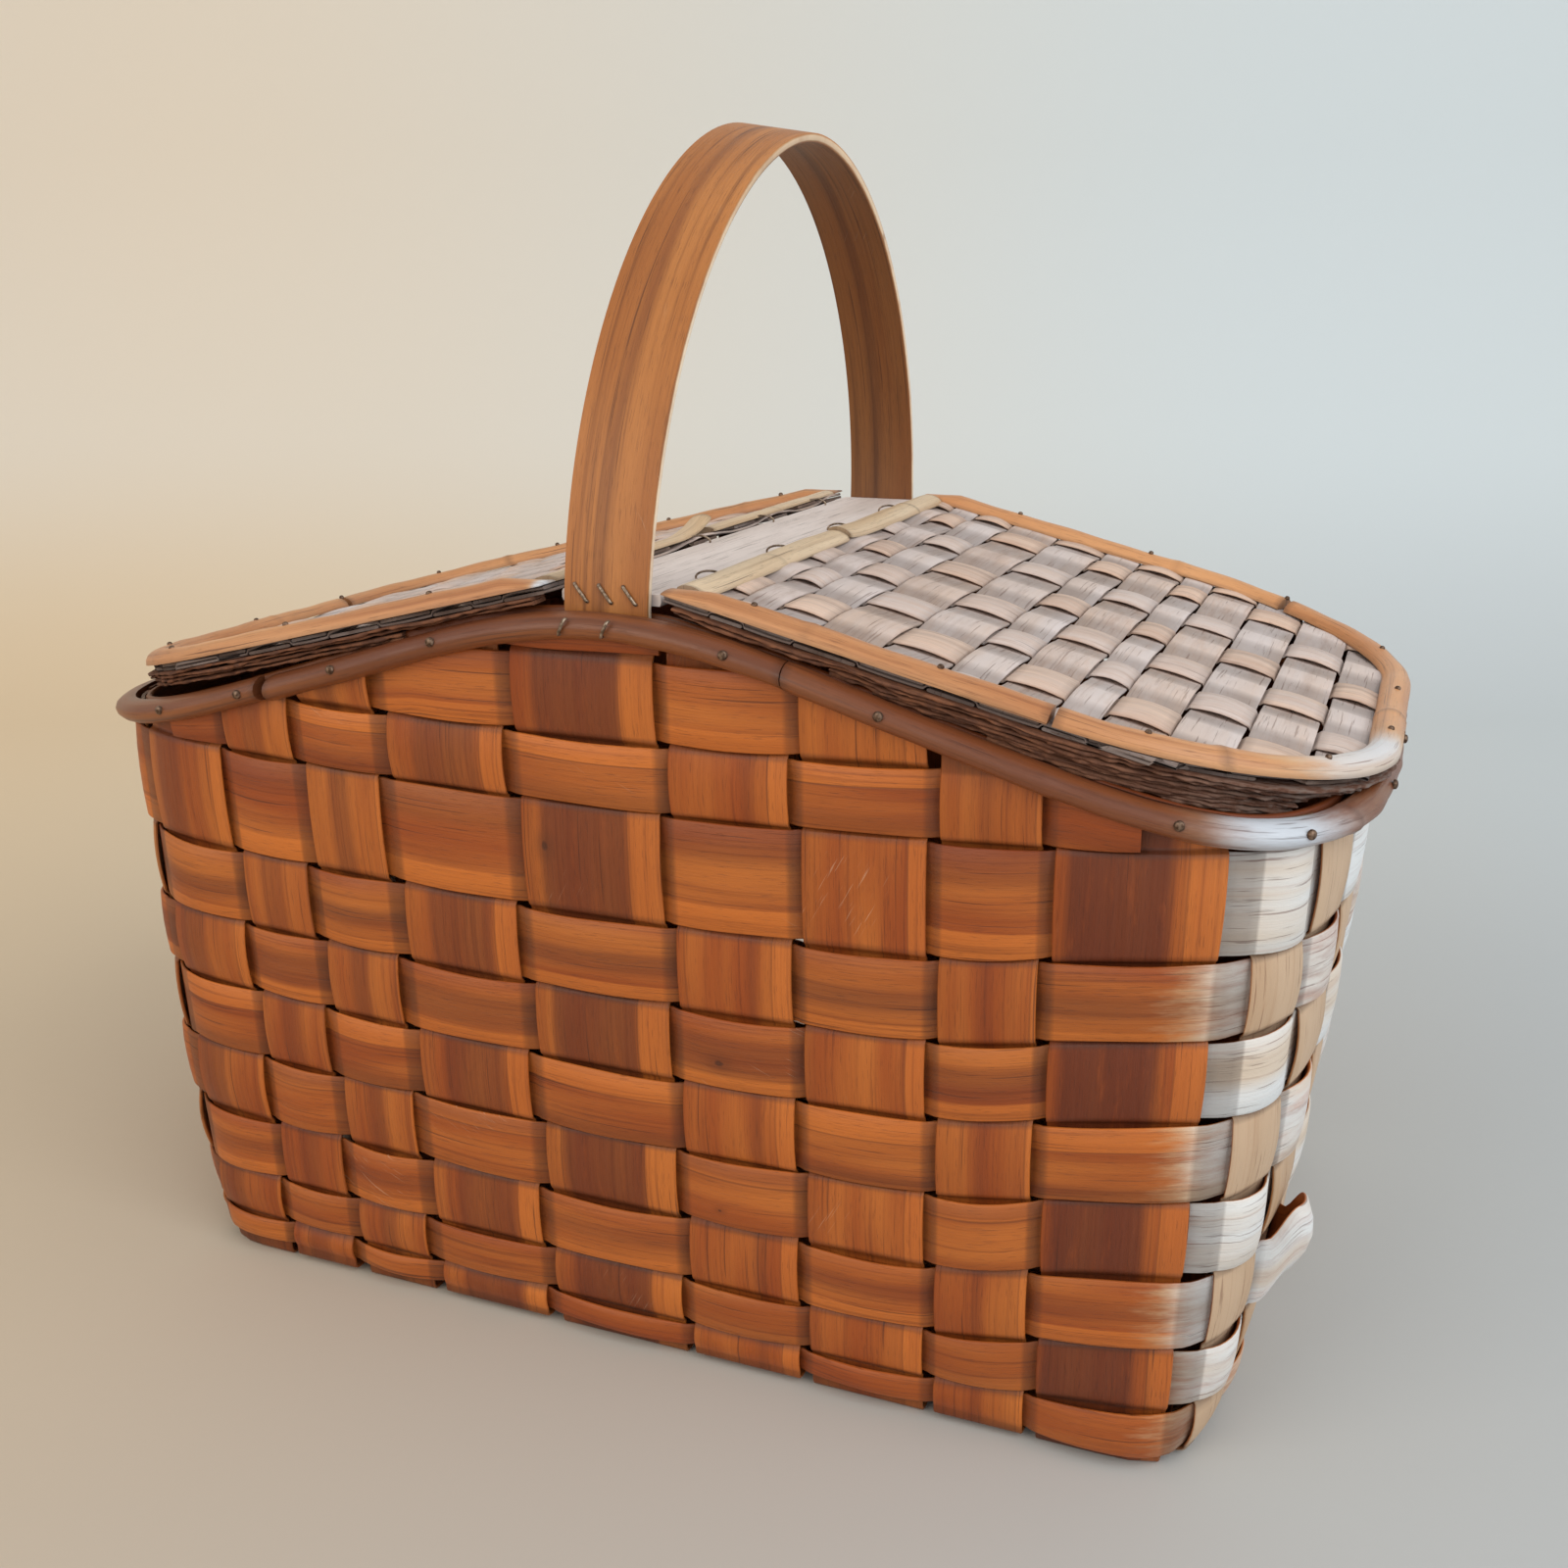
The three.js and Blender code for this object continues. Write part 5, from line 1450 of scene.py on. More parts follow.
# %% Both lids woven
# The cross strips are bleached more, and the lengthwise ones keep more of the wood's own colour.
STRIP_LOOKS = {
    "cross": {"heart": (-4, 4), "strength": (0.1, 0.7), "tone": (-0.5, 0.5), "bleach_and_sheen": (0.62, 0.9)},
    "long": {"heart": (2, 6), "strength": (0.1, 0.6), "tone": (-0.2, 0.6), "bleach_and_sheen": (0.42, 0.72)},
}


def strip_look(kind, draw, seed):
    ranges = STRIP_LOOKS[kind]
    strength, tone, bleach_and_sheen = (draw.uniform(*ranges[key]) for key in ("strength", "tone", "bleach_and_sheen"))
    return {"seed": seed, "heart": (*ranges["heart"], strength), "tone": tone, "bleach_and_sheen": bleach_and_sheen}


def lid_side(i, j):
    """1 where the lengthwise strip is on top."""
    return 1 if (i + j) % 2 == 1 else -1


def lid_weave(side, seed):
    draw = random.Random(seed)
    crosswise, lengthwise = LID_CROSS_EDGES, LID_LONG_EDGES
    for i, edges in enumerate(crosswise, 1):
        signs = [-lid_side(i, j) for j in range(1, len(lengthwise) + 1)]
        look = strip_look("cross", draw, seed + 3.7 * i)
        name = f"lid_{side}_cross_strip_{i}"
        lid_strip(side, edges, lengthwise, signs, cross_limits, "cross", name, look)
    for j, edges in enumerate(lengthwise, 1):
        signs = [lid_side(i, j) for i in range(1, len(crosswise) + 1)]
        look = strip_look("long", draw, seed + 50 + 4.3 * j)
        name = f"lid_{side}_long_strip_{j}"
        lid_strip(side, edges, crosswise, signs, long_limits, "long", name, look)


lid_weave("right", 501.0)
lid_weave("left", 701.0)
print("strips in each lid:", len(LID_CROSS_EDGES) + len(LID_LONG_EDGES))

# %% [markdown]
# The lid's rod follows the lid's outline with the same half-round section as the rim, but it lies
# flat on the weave. Its two ends slope down to thin tips beside the handle. On the left lid the
# front tip is pale, as the inside of the cane is.

# %% Outline of a lid
LID_ROD_HALF = 5
LID_ROD_START = 1.7
LID_ROD_STEP = 3.0


def lid_outline(inset, start, step=LID_ROD_STEP):
    """Places round the edge of a lid, t, v and the outward direction in its plane."""
    side = LID_HALF_WIDTH - inset
    radius = LID_CORNER - inset
    straight = LID_LENGTH - LID_CORNER
    turns = np.linspace(math.pi / 2, 0, int(radius * math.pi / 2 / step) + 1)

    def corner(a, sign):
        t = straight + radius * math.cos(a)
        return t, sign * (side - radius + radius * math.sin(a)), math.cos(a), sign * math.sin(a)

    out = [(t, -side, 0, -1) for t in np.arange(start, straight, step)]
    out += [corner(a, -1) for a in turns]
    ends = (-(side - radius) + step, side - radius - step / 2)
    out += [(straight + radius, v, 1, 0) for v in np.arange(*ends, step)]
    out += [corner(a, 1) for a in turns[::-1]]
    out += [(t, side, 0, 1) for t in np.arange(start, straight, step)[::-1]]
    return np.array(out)


ROD_LINE = lid_outline(LID_ROD_HALF, LID_ROD_START)
print("places along a lid's rod:", len(ROD_LINE))

# %% The rods of the lids
LID_ROD_HEIGHT = 4.5
LID_ROD_THIN = 0.9
LID_ROD_BASE = 1.5
LID_ROD_TAPER = 14.5
LID_ROD_LENGTHS = {"right": (0, 118, 430), "left": (0, 120, 260)}
LID_ROD_JOINTS = [46.0, 163.0]
LID_ROD_BLEACH = 0.1
PALE_TIP = (0.9, 4)
CORNER_SHINE = (0.9, 42)
CORNER_SHINE_PLACE = 222
# Its grey serves bare cane and the painted highlight at the right lid's front corner.
LID_CANE = splint_wood(
    "lid_cane", light=(214, 156, 104), middle=(188, 124, 76), dark=(118, 62, 34),
    heart=(146, 88, 54), grey=(214, 214, 216), cream=(206, 168, 124), gloss=0.34, coat=0.2,
)


def lid_rod(side):
    base = lid_point(side, ROD_LINE[:, 0], ROD_LINE[:, 1], LID_ROD_BASE)
    across = lid_direction(side, ROD_LINE[:, 2], ROD_LINE[:, 3])
    up = np.broadcast_to(lid_normal(side), base.shape)
    u = travelled(base)
    taper = np.clip((ROD_LINE[:, 0] - LID_ROD_START) / LID_ROD_TAPER, 0, 1)
    height = LID_ROD_THIN + (LID_ROD_HEIGHT - LID_ROD_THIN) * taper
    cuts = [*LID_ROD_LENGTHS[side], u[-1] + 1]
    for k, (start, stop) in enumerate(zip(cuts, cuts[1:])):
        here = (u >= start) & (u < stop)
        tip = PALE_TIP[0] * bell(u[here] - u[-1], PALE_TIP[1]) if side == "left" else 0
        # Painted highlight: on the right lid the rod is made silvery round its front corner.
        from_corner = u[here] - CORNER_SHINE_PLACE
        shine = CORNER_SHINE[0] * bell(from_corner, CORNER_SHINE[1]) if side == "right" else 0
        look = {
            "seed": 91.0 + 13 * k + (5 if side == "left" else 0), "tone": 0.2 * k, "heart": (2, 5, 0.3),
            "bleach_and_sheen": np.clip(LID_ROD_BLEACH + tip + shine, 0, 1), "joints": LID_ROD_JOINTS,
            "dark_ends": (0,) if stop > u[-1] else (0, -1),
        }
        line = (base[here], across[here], up[here])
        made = half_round(f"lid_{side}_rod_{k + 1}", *line, LID_ROD_HALF, height[here], look, LID_CANE)
        hand_in(made, f"lid_{side}", [f"lid_rod_{side}"])


for side in SIGNS:
    lid_rod(side)
print("lid rod lengths:", sum(len(starts) for starts in LID_ROD_LENGTHS.values()))

# %% [markdown]
# The strip under the edge of each lid is bark, split by age into ragged layers. Each layer is a
# thin strip whose edge wanders at random. The first two go all round; under them hang loose ones,
# more of them on the right, wherever the lid's edge leaves room above the rim or inside it.

# %% Bark finish
# Each layer of streaks: marks in a metre along and across the grain, a shift, detail, roughness.
BARK_FLAKES = (160, 700, 4.4, 5, 0.7)
BARK_LINES = (40, 1600, 9.2, 3, 0.6)
BARK_RELIEF = 0.0006


def bark_finish():
    material, tree, shader = new_finish("bark")
    grain, _ = note(tree, "grain")
    _, (_, bleach_and_sheen, _) = note(tree, "wear_shade_and_sheen")
    flakes = streaks(tree, grain, *BARK_FLAKES)
    lines = streaks(tree, grain, *BARK_LINES)
    colour = mixed(tree, ramp(tree, flakes, 0.35, 0.7), srgb(84, 48, 29), srgb(134, 84, 54))
    pale_lines = times(tree, ramp(tree, lines, 0.62, 0.8), 0.15)
    colour = mixed(tree, pale_lines, colour, srgb(140, 100, 70))
    grey = times(tree, bleach_and_sheen, ramp(tree, flakes, 0.4, 0.6))
    colour = mixed(tree, grey, colour, srgb(110, 102, 96))
    rough = plus(tree, 0.62, times(tree, flakes, 0.3))
    height = plus(tree, flakes, times(tree, lines, 0.5))
    set_surface(tree, shader, colour, rough, height, 0.7, BARK_RELIEF)
    return material


BARK = bark_finish()
print("bark finish:", BARK.name)

# %% Where there is room for bark
BARK_START = 6
BARK_STEP = 1.05
LAST_LAYER = {"right": 8, "left": 3}
ROOM_OVER_ROD = 0.5
FIRST_LOOSE_DROP = 3.4
ROOM_INSIDE_BAND = 0.6
LOOSE_INSIDE = 4.5
LOOSE_FROM = 55
INSIDE_FROM = 90
RIM_PLACES = 900
FEWEST_PLACES = 4


def room_below(t):
    """How far down from the lid's plane there is room above the rim rod, at its front and back."""
    x = HINGE_X + t * math.cos(LID_SLOPE)
    rod_top = rim_height(x) + ROD_HALF + ROOM_OVER_ROD
    return (HINGE_Z - t * math.sin(LID_SLOPE) - rod_top) / math.cos(LID_SLOPE)


def inside_rim(edge):
    """How far each place of the lid's edge lies inside the wall's middle surface."""
    place = lid_point("right", edge[:, 0], edge[:, 1], 0.0)
    s = np.linspace(0, RIM_WHOLE, RIM_PLACES, endpoint=False)
    points, out = wall(s, RIM_END_HEIGHT, np.zeros_like(s))
    apart = place[:, None, :2] - points[None, :, :2]
    near = np.argmin(np.linalg.norm(apart, axis=2), axis=1)
    return -np.einsum("ij,ij->i", apart[np.arange(len(edge)), near], out[near][:, :2])


def bark_lengths(edge, layer):
    """The first layers go all round; the loose ones hang only where the lid stands off the rim."""
    if layer < 2:
        return {"": np.full(len(edge), True)}
    low = FIRST_LOOSE_DROP + BARK_STEP * (layer - 1)
    room = room_below(edge[:, 0])
    above = (room > low) & (edge[:, 0] > LOOSE_FROM)
    inside = inside_rim(edge) > RIM_FACE + BAND_DEPTH + ROOM_INSIDE_BAND
    inside = inside & (low < room + LOOSE_INSIDE) & (edge[:, 0] > INSIDE_FROM)
    return {"_front": (above | inside) & (edge[:, 1] < 0), "_back": (above | inside) & (edge[:, 1] > 0)}

# %% The bark strips
BARK_TOP = -1.3
BARK_THICKNESS = 1.0
BARK_INSET = 0.6
INSET_STEP = 0.9
BARK_SHARES = np.array([0.0, 0.05, 0.5, 0.95, 1.0])
BARK_PLACE_STEP = 1.5
FIRST_BARK = (9, 1.1)
SECOND_BARK = (8, 1.9)
LOOSE_WIDTH = 7
NARROWER = 0.5
LOOSE_RAGGED = 1.4
MORE_RAGGED = 0.5
ROUGH_SHARE = 0.55
SLOW_SHARE = 0.45
UNEVEN_THICKNESS = 0.35
DROP_SHARE = 0.35
DROP_LIMITS = (-0.2, 0.5)
OUTWARD = 0.5
DROOP = 0.3
GREY_PLACE_SHARE = 0.36
GREY_WIDTH_SHARE = 0.1
BARK_GREY = 0.8


def drawn_along(draw, count, every):
    """Random numbers for every few places, with straight lines between them."""
    marks = np.arange(0, count, every)
    return np.interp(np.arange(count), marks, draw.uniform(-1, 1, len(marks)))


def bark_strip(side, layer, top, width, raggedness):
    draw = np.random.default_rng(31 + layer + (7 if side == "left" else 0))
    edge = lid_outline(BARK_INSET + min(layer, 4) * INSET_STEP, BARK_START, BARK_PLACE_STEP)
    count = len(edge)
    rough = drawn_along(draw, count, 2)
    slow = drawn_along(draw, count, 9)
    ragged = raggedness * (ROUGH_SHARE * rough + SLOW_SHARE * slow)
    thick = BARK_THICKNESS * (1 + UNEVEN_THICKNESS * np.roll(rough, 5))
    drop = np.clip(DROP_SHARE * slow, *DROP_LIMITS)
    inward = -ragged[:, None] * (1 - BARK_SHARES) + BARK_SHARES * width - OUTWARD
    t = edge[:, :1] - edge[:, 2:3] * inward
    v = edge[:, 1:2] - edge[:, 3:4] * inward
    w = (top - thick / 2 - drop)[:, None] - DROOP * min(layer, 3) * (1 - BARK_SHARES)
    middle = lid_point(side, t, v, w)
    out = np.broadcast_to(lid_normal(side), middle.shape) * (thick / BARK_THICKNESS)[:, None, None]
    from_grey = np.arange(count) / count - GREY_PLACE_SHARE
    grey = BARK_GREY * bell(from_grey, GREY_WIDTH_SHARE) * (side == "right")
    pieces = []
    for key, here in bark_lengths(edge, layer).items():
        if np.count_nonzero(here) < FEWEST_PLACES:
            continue
        clean = np.zeros(np.count_nonzero(here))
        look = {"seed": 15.0 + layer, "tone": 0, "varnish_and_shade": clean, "bleach_and_sheen": grey[here]}
        name = f"lid_{side}_bark_{layer + 1}{key}"
        made = splint(name, middle[here], out[here], look, BARK, half=BARK_THICKNESS / 2)
        pieces.append(hand_in(made, f"lid_{side}", [f"lid_bark_strip_{side}"]))
    return pieces


hung = []
for side in SIGNS:
    hung += bark_strip(side, 0, BARK_TOP, *FIRST_BARK)
    hung += bark_strip(side, 1, BARK_TOP - BARK_STEP, *SECOND_BARK)
    for layer in range(2, LAST_LAYER[side] + 1):
        width = LOOSE_WIDTH - NARROWER * (layer - 2)
        ragged = LOOSE_RAGGED + MORE_RAGGED * (layer % 2)
        hung += bark_strip(side, layer, BARK_TOP - BARK_STEP * layer, width, ragged)
print("lengths of bark:", len(hung))

# %% [markdown]
# ## Hinges and middle board
#
# Along each hinge edge a pale flat cane strip covers the raw ends of the weave. Wire loops go
# through it, through the lid and through the edge of the middle board, so the lid turns on the
# wire itself. The cane is a low half-round; the wire is a smooth ring.

# %% Pale cane strips
STRIP_START = 1.2
STRIP_WIDTH = 10.5
STRIP_BASE = 1.5
STRIP_HEIGHT = 2.3
STRIP_END = 122.7
STRIP_JOINT = 5
STRIP_GAP = 0.15
STRIP_STATIONS = 60
STRIP_WANDER = 0.3
WANDER_LENGTH = 21
STRIP_NARROWS = 0.12
NARROWING_POWER = 0.3
SPRING_LENGTH = 30
JOINT_LIFT = 0.7
JOINT_LIFT_WIDTH = 7
PALE_CANE = splint_wood(
    "pale_cane", light=(222, 196, 162), middle=(202, 168, 128), dark=(140, 100, 68),
    heart=(170, 128, 92), grey=(222, 212, 200), cream=(208, 182, 150),
)


def hinge_strip(side, number, start, stop, spring):
    v = np.linspace(start, stop, STRIP_STATIONS)
    share = (v - start) / (stop - start)
    lift = spring * np.clip(1 - (v - start) / SPRING_LENGTH, 0, 1) ** 2
    joint = JOINT_LIFT * bell(v - STRIP_JOINT, JOINT_LIFT_WIDTH)
    middle = STRIP_START + STRIP_WIDTH / 2 + STRIP_WANDER * np.sin(v / WANDER_LENGTH)
    base = lid_point(side, middle, v, STRIP_BASE + lift + joint * (number == 2) * 0.5)
    across = np.broadcast_to(lid_direction(side, np.array([1.0]), np.array([0.0])), base.shape)
    up = np.broadcast_to(lid_normal(side), base.shape)
    half = STRIP_WIDTH / 2 * (1 - STRIP_NARROWS * (1 - np.sin(math.pi * share) ** NARROWING_POWER))
    look = {
        "seed": 23.0 + 5 * number, "tone": 0.1, "heart": (1, 3, 0.3), "bleach_and_sheen": 0.3,
        "joints": [44.0 + 20 * number],
    }
    name = f"lid_{side}_hinge_cane_{number}"
    made = half_round(name, base, across, up, half, STRIP_HEIGHT, look, PALE_CANE)
    return hand_in(made, f"lid_{side}", [f"hinge_strip_{side}_{number}"])


for side, spring in (("right", 0.8), ("left", 4.5)):
    hinge_strip(side, 1, -STRIP_END, STRIP_JOINT - STRIP_GAP, 0.0)
    hinge_strip(side, 2, STRIP_JOINT + STRIP_GAP, STRIP_END, spring)
print("pale strips are", STRIP_WIDTH, "mm wide")

# %% The middle board
BOARD_POINTS = 7
BOARD_STATIONS = 40
BOARD_EASED = 0.5
BOARD_WOOD = splint_wood(
    "board_wood", light=(200, 184, 174), middle=(182, 164, 154), dark=(118, 100, 90),
    heart=(150, 132, 122), grey=(240, 226, 218), cream=(222, 204, 192), gloss=0.55, coat=0.0,
)


def middle_board():
    (x0, y0, z0), (x1, y1, z1) = ([value / MM for value in corner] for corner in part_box("middle_board"))
    between = np.linspace(y0 + 2 * BOARD_EASED, y1 - 2 * BOARD_EASED, BOARD_STATIONS)
    y = np.concatenate([[y0, y0 + BOARD_EASED], between, [y1 - BOARD_EASED, y1]])
    shares = across_shares(x1 - x0, BOARD_POINTS)
    middle = np.zeros((len(y), len(shares), 3))
    middle[..., 0] = x0 + (x1 - x0) * shares
    middle[..., 1] = y[:, None]
    middle[..., 2] = (z0 + z1) / 2
    out = np.broadcast_to(np.array([0, 0, 1.0]), middle.shape)
    look = {"seed": 83.0, "tone": 0.0, "heart": (-6, 2, 0.5), "varnish_and_shade": np.full(len(y), 0.1), "bleach_and_sheen": 0.8}
    return splint("middle_board_wood", middle, out, look, BOARD_WOOD, half=(z1 - z0) / 2)


board = hand_in(middle_board(), "basket", ["middle_board"])
print("middle board:", [round(size / MM, 1) for size in board.dimensions])

# %% [markdown]
# ## Wire and nails
#
# The small metal tells the basket's age: tarnished wire loops at the hinges, staples that pin the
# handle, and round nail heads that hold the rods. Wire is a curve with a round bevel. A nail head
# is a low dome turned on its rod, made from rings of points so that it catches a small highlight.

# %% Metal finish
SPOT_SCALE = 900
METAL_RELIEF = 0.0001


def wire_finish(name, bright, dull, roughness):
    material, tree, shader = new_finish(name, metallic=0.85)
    place = put(tree, "TexCoord").outputs["Object"]
    spots = put(tree, "TexNoise", {"Vector": place, "Scale": SPOT_SCALE, "Detail": 4}).outputs[0]
    colour = mixed(tree, ramp(tree, spots, 0.35, 0.65), srgb(*bright), srgb(*dull))
    rough = plus(tree, roughness, times(tree, spots, 0.25))
    set_surface(tree, shader, colour, rough, spots, 0.3, METAL_RELIEF)
    return material


WIRE = wire_finish("dull_wire", (168, 148, 128), (104, 84, 66), 0.36)
NAIL = wire_finish("nail_head", (132, 108, 90), (78, 56, 42), 0.4)
print("metals:", WIRE.name, NAIL.name)

# %% Wire, and the hinge loops
LOOP_WIRE = 0.36
LOOP_RADIUS = 4.0
LOOP_RISE_SHARE = 0.5
LOOP_SKEW = 1.2
LOOP_STEPS = 32
LOOP_SHARES = [-0.707, -0.271, 0.18, 0.632]


def wire(name, points, radius, closed, nodes):
    curve = bpy.data.curves.new(name, "CURVE")
    curve.dimensions = "3D"
    curve.bevel_depth = radius * MM
    curve.bevel_resolution = 3
    curve.use_fill_caps = True
    line = curve.splines.new("POLY")
    line.points.add(len(points) - 1)
    for point, place in zip(line.points, points):
        point.co = (*(value * MM for value in place), 1)
    line.use_cyclic_u = closed
    line.use_smooth = True
    curve.materials.append(WIRE)
    made = bpy.data.objects.new(name, curve)
    bpy.context.collection.objects.link(made)
    return hand_in(made, "basket", nodes)


def hinge_loop(side, k, share):
    """A ring through the board's edge and the lid, a little skewed as twisted wire is."""
    ring = []
    for a in np.linspace(0, 2 * math.pi, LOOP_STEPS, endpoint=False):
        x = SIGNS[side] * HINGE_X + LOOP_RADIUS * math.cos(a)
        y = SIGNS[side] * share * LID_HALF_WIDTH + LOOP_SKEW * math.cos(a)
        ring.append((x, y, HINGE_Z + LOOP_RISE_SHARE * LOOP_RADIUS * math.sin(a)))
    wire(f"hinge_wire_{side}_{k}", ring, LOOP_WIRE, True, [f"wire_loop_{side}_{k}"])


for side in SIGNS:
    for k, share in enumerate(LOOP_SHARES, 1):
        hinge_loop(side, k, share)
print("wire loops for each lid:", len(LOOP_SHARES))

# %% Staples through the handle's legs
STAPLE_WIRE = 0.55
STAPLE_PITCH = 8
STAPLE_RISE = 2.2
STAPLE_HALF = 3.3
STAPLE_TILT = math.radians(40)
STAPLE_STEPS = [(-1, -1.0), (-1, -0.25), (-0.9, 0), (0, 0.06), (0.9, 0), (1, -0.25), (1, -1.0)]
leg_y, leg_z, _ = handle_line()


def leg_staples(wall_name):
    ys, zs = (leg_y, leg_z) if wall_name == "front" else (leg_y[::-1], leg_z[::-1])
    at = int(np.argmax(zs > HANDLE_SPRING + STAPLE_RISE))
    up_y, up_z = ys[at] - ys[at - 1], zs[at] - zs[at - 1]
    size = math.hypot(up_y, up_z)
    up_y, up_z = up_y / size, up_z / size
    sign = -1 if wall_name == "front" else 1
    outward = np.array([0, sign * up_z, -sign * up_y])
    run = np.array([math.sin(STAPLE_TILT), -up_y * math.cos(STAPLE_TILT), -up_z * math.cos(STAPLE_TILT)])
    for k, place in enumerate((-1, 0, 1), 1):
        centre = np.array([place * STAPLE_PITCH, ys[at], zs[at]]) + outward * (HANDLE_HALF + STAPLE_WIRE)
        line = [centre + run * STAPLE_HALF * a + outward * b for a, b in STAPLE_STEPS]
        wire(f"staple_wire_{wall_name}_{k}", line, STAPLE_WIRE, False, [f"staple_{wall_name}_{k}"])


for wall_name in LONG_WALLS:
    leg_staples(wall_name)

# %% Two staples that hold the rim rod beside the handle
ROD_STAPLES = [-9, 5]
ROD_STAPLE_WIRE = 0.5
ROD_STAPLE_RISE = 0.6
ROD_STAPLE_RUN = np.array([0.42, 0, 0.9])
ROD_STAPLE_STEPS = [(-2.6, -0.8), (-2.5, 0.3), (-1.6, 0.7), (1.6, 0.7), (2.5, 0.3), (2.6, -0.8)]
SHORT_RUN = 0.5
for k, s in enumerate(ROD_STAPLES, 1):
    points, out = rim_line(s, s + SHORT_RUN, RIM_FACE + ROD_DEPTH, lift=ROD_STAPLE_RISE)
    line = [points[0] + ROD_STAPLE_RUN * a + out[0] * b for a, b in ROD_STAPLE_STEPS]
    wire(f"rim_staple_{k}", line, ROD_STAPLE_WIRE, False, [])
print("staples in the rim rod:", len(ROD_STAPLES))

# %% Nail heads
NAIL_RINGS = [(1.0, -0.5), (1.0, 0.1), (0.92, 0.45), (0.7, 0.72), (0.35, 0.88), (0.08, 0.92)]
NAIL_SIDES = 14
RIM_NAIL_RADIUS = 1.5
LID_NAIL_RADIUS = 1.0
RIM_NAIL_RISE = 1.2
RIM_NAILS = [-164, -131, -93, -55, 42, 88, 169, 201, 262, 318, 372, 430]
BACK_NAILS = [RIM_WHOLE / 2 + 60 + 52 * n for n in range(7)]
FIRST_LID_NAIL = 26
LAST_LID_NAIL = 20
LID_NAIL_PITCH = 58


def nail(name, place, outward, body, radius):
    outward = np.asarray(outward) / np.linalg.norm(outward)
    first = np.cross(outward, [0.3, 0.9, 0.2])
    first /= np.linalg.norm(first)
    second = np.cross(outward, first)
    points = []
    for share, rise in NAIL_RINGS:
        for k in range(NAIL_SIDES):
            a = 2 * math.pi * k / NAIL_SIDES
            around = first * math.cos(a) + second * math.sin(a)
            points.append(place + radius * share * around + outward * rise)
    made = new_piece(name, np.array(points), tube_faces(len(NAIL_RINGS), NAIL_SIDES, False), NAIL, {})
    return hand_in(made, body, [])


for k, s in enumerate(RIM_NAILS + BACK_NAILS, 1):
    points, out = rim_line(s, s + SHORT_RUN, RIM_FACE + ROD_DEPTH, lift=RIM_NAIL_RISE)
    nail(f"rim_nail_{k}", points[0], out[0], "basket", RIM_NAIL_RADIUS)
for side in SIGNS:
    base = lid_point(side, ROD_LINE[:, 0], ROD_LINE[:, 1], LID_ROD_BASE + LID_ROD_HEIGHT)
    u = travelled(base)
    for k, at in enumerate(np.arange(FIRST_LID_NAIL, u[-1] - LAST_LID_NAIL, LID_NAIL_PITCH), 1):
        i = int(np.argmin(np.abs(u - at)))
        nail(f"lid_{side}_nail_{k}", base[i], lid_normal(side), f"lid_{side}", LID_NAIL_RADIUS)

# %% [markdown]
# ## Room, light and camera
#
# The basket stands on a pale sweep: one sheet that is floor in front and wall behind. Soft light
# comes from the right as from a window, with a weaker fill from the left. The camera stands in
# front, a little to the right of the middle and above the rim, looking gently down.

# %% The sweep
CAMERA_TURN = math.radians(21.67)
SWEEP_HALF = 3.0
SWEEP_FRONT = -1.7
SWEEP_BACK = 1.25
SWEEP_RADIUS = 0.5
SWEEP_TOP = 2.6
SWEEP_STEPS = 12


def sweep_sheet():
    profile = [(SWEEP_FRONT, 0), (SWEEP_BACK - SWEEP_RADIUS, 0)]
    for k in range(1, SWEEP_STEPS + 1):
        a = math.pi / 2 * k / SWEEP_STEPS
        y = SWEEP_BACK - SWEEP_RADIUS + SWEEP_RADIUS * math.sin(a)
        profile.append((y, SWEEP_RADIUS - SWEEP_RADIUS * math.cos(a)))
    profile.append((SWEEP_BACK, SWEEP_TOP))
    points = [(x, y, z) for y, z in profile for x in (-SWEEP_HALF, SWEEP_HALF)]
    faces = [(2 * k, 2 * k + 1, 2 * k + 3, 2 * k + 2) for k in range(len(profile) - 1)]
    mesh = bpy.data.meshes.new("sweep")
    mesh.from_pydata(points, [], faces)
    mesh.shade_smooth()
    made = bpy.data.objects.new("sweep", mesh)
    bpy.context.collection.objects.link(made)
    made.rotation_euler = (0, 0, CAMERA_TURN)
    return made


sweep = sweep_sheet()
print("sweep:", [round(size, 2) for size in sweep.dimensions], "m")

# %% The paper of the sweep
WARM_TO_COOL = (-0.5, 0.9)
NEAR_TO_FAR = (-0.2, 0.75)
FLOOR_TO_WALL = (0.0, 0.22)


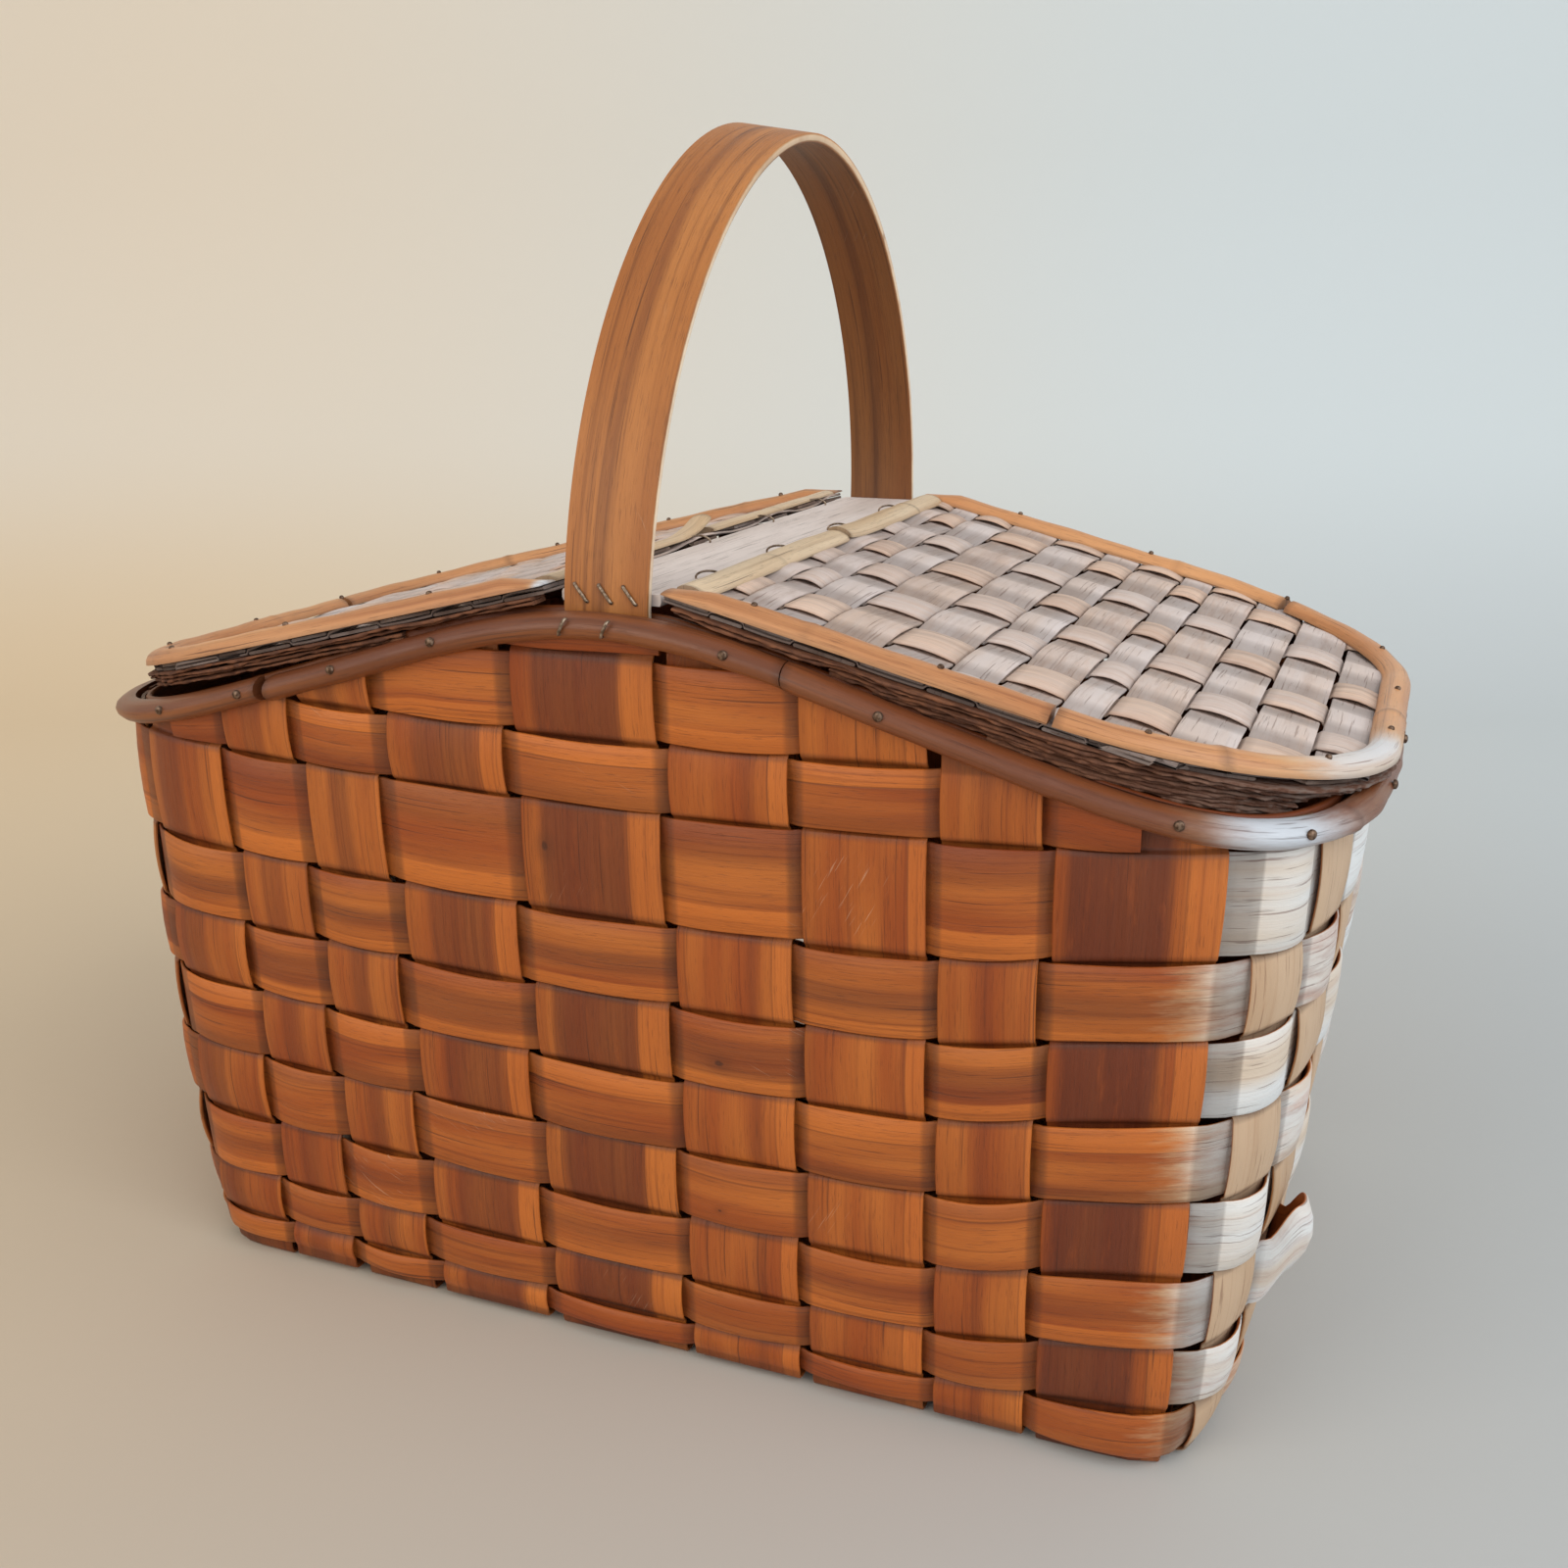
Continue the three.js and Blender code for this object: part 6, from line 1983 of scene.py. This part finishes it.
def pale_paper():
    """Paper with painted light: warmer on the left, as from a lamp, and cooler on the right, as from a
    window; the floor is darker towards the front.
    """
    material, tree, shader = new_finish("pale_paper")
    place = put(tree, "TexCoord").outputs["Object"]
    sideways, depth, height = put(tree, "SeparateXYZ", {0: place}).outputs
    slow = put(tree, "TexNoise", {"Vector": place, "Scale": 0.8, "Detail": 2}).outputs[0]
    fine = put(tree, "TexNoise", {"Vector": place, "Scale": 240, "Detail": 3}).outputs[0]
    # Painted light: the paper goes from warm on the left to cool on the right.
    cool = ramp(tree, plus(tree, sideways, times(tree, slow, 0.4)), *WARM_TO_COOL)
    near_floor = mixed(tree, cool, srgb(204, 181, 148), srgb(176, 184, 190))
    far_floor = mixed(tree, cool, srgb(228, 204, 170), srgb(206, 210, 210))
    floor = mixed(tree, ramp(tree, depth, *NEAR_TO_FAR), near_floor, far_floor)
    wall_paper = mixed(tree, cool, srgb(230, 218, 200), srgb(216, 222, 222))
    colour = mixed(tree, ramp(tree, height, *FLOOR_TO_WALL), floor, wall_paper)
    tree.links.new(colour, shader.inputs["Base Color"])
    tree.links.new(plus(tree, 0.7, times(tree, fine, 0.2)), shader.inputs["Roughness"])
    return material


sweep.data.materials.append(pale_paper())
print("paper:", sweep.data.materials[0].name)

# %% Lights
world = bpy.data.worlds.new("room")
bpy.context.scene.world = world
world.use_nodes = True
background = world.node_tree.nodes["Background"]
background.inputs["Color"].default_value = (0.92, 0.96, 1.0, 1)
background.inputs["Strength"].default_value = 0.62


def lamp(name, place, target, size, power, colour):
    data = bpy.data.lights.new(name, "AREA")
    data.size = size
    data.energy = power
    data.color = colour
    made = bpy.data.objects.new(name, data)
    bpy.context.collection.objects.link(made)
    made.location = place
    direction = np.array(target) - np.array(place)
    yaw = math.atan2(direction[1], direction[0])
    pitch = math.atan2(direction[2], math.hypot(direction[0], direction[1]))
    made.rotation_euler = (math.pi / 2 + pitch, 0, yaw - math.pi / 2)
    return made


lamp("window", (1.5, -0.6, 1.15), (0, 0, 0.15), 1.8, 24, (0.93, 0.97, 1.0))
lamp("room_fill", (-0.9, -1.7, 1.1), (0, 0, 0.12), 1.4, 15, (1.0, 0.91, 0.80))

# %% Camera
SENSOR_WIDTH = 36
FOCAL_PIXELS = 1665.8
PICTURE_PIXELS = 1600
CAMERA_PLACE = (0.2246, -0.5516, 0.3465)
CAMERA_DOWN = math.radians(16.56)
CAMERA_ROLL = math.radians(0.08)
camera_data = bpy.data.cameras.new("camera")
camera_data.sensor_width = SENSOR_WIDTH
camera_data.lens = SENSOR_WIDTH * FOCAL_PIXELS / PICTURE_PIXELS
camera = bpy.data.objects.new("camera", camera_data)
bpy.context.collection.objects.link(camera)
camera.location = CAMERA_PLACE
camera.rotation_euler = (math.pi / 2 - CAMERA_DOWN, CAMERA_ROLL, CAMERA_TURN)
bpy.context.scene.camera = camera
bpy.context.scene.view_settings.view_transform = "Standard"
print("lens:", round(camera_data.lens, 2), "mm")
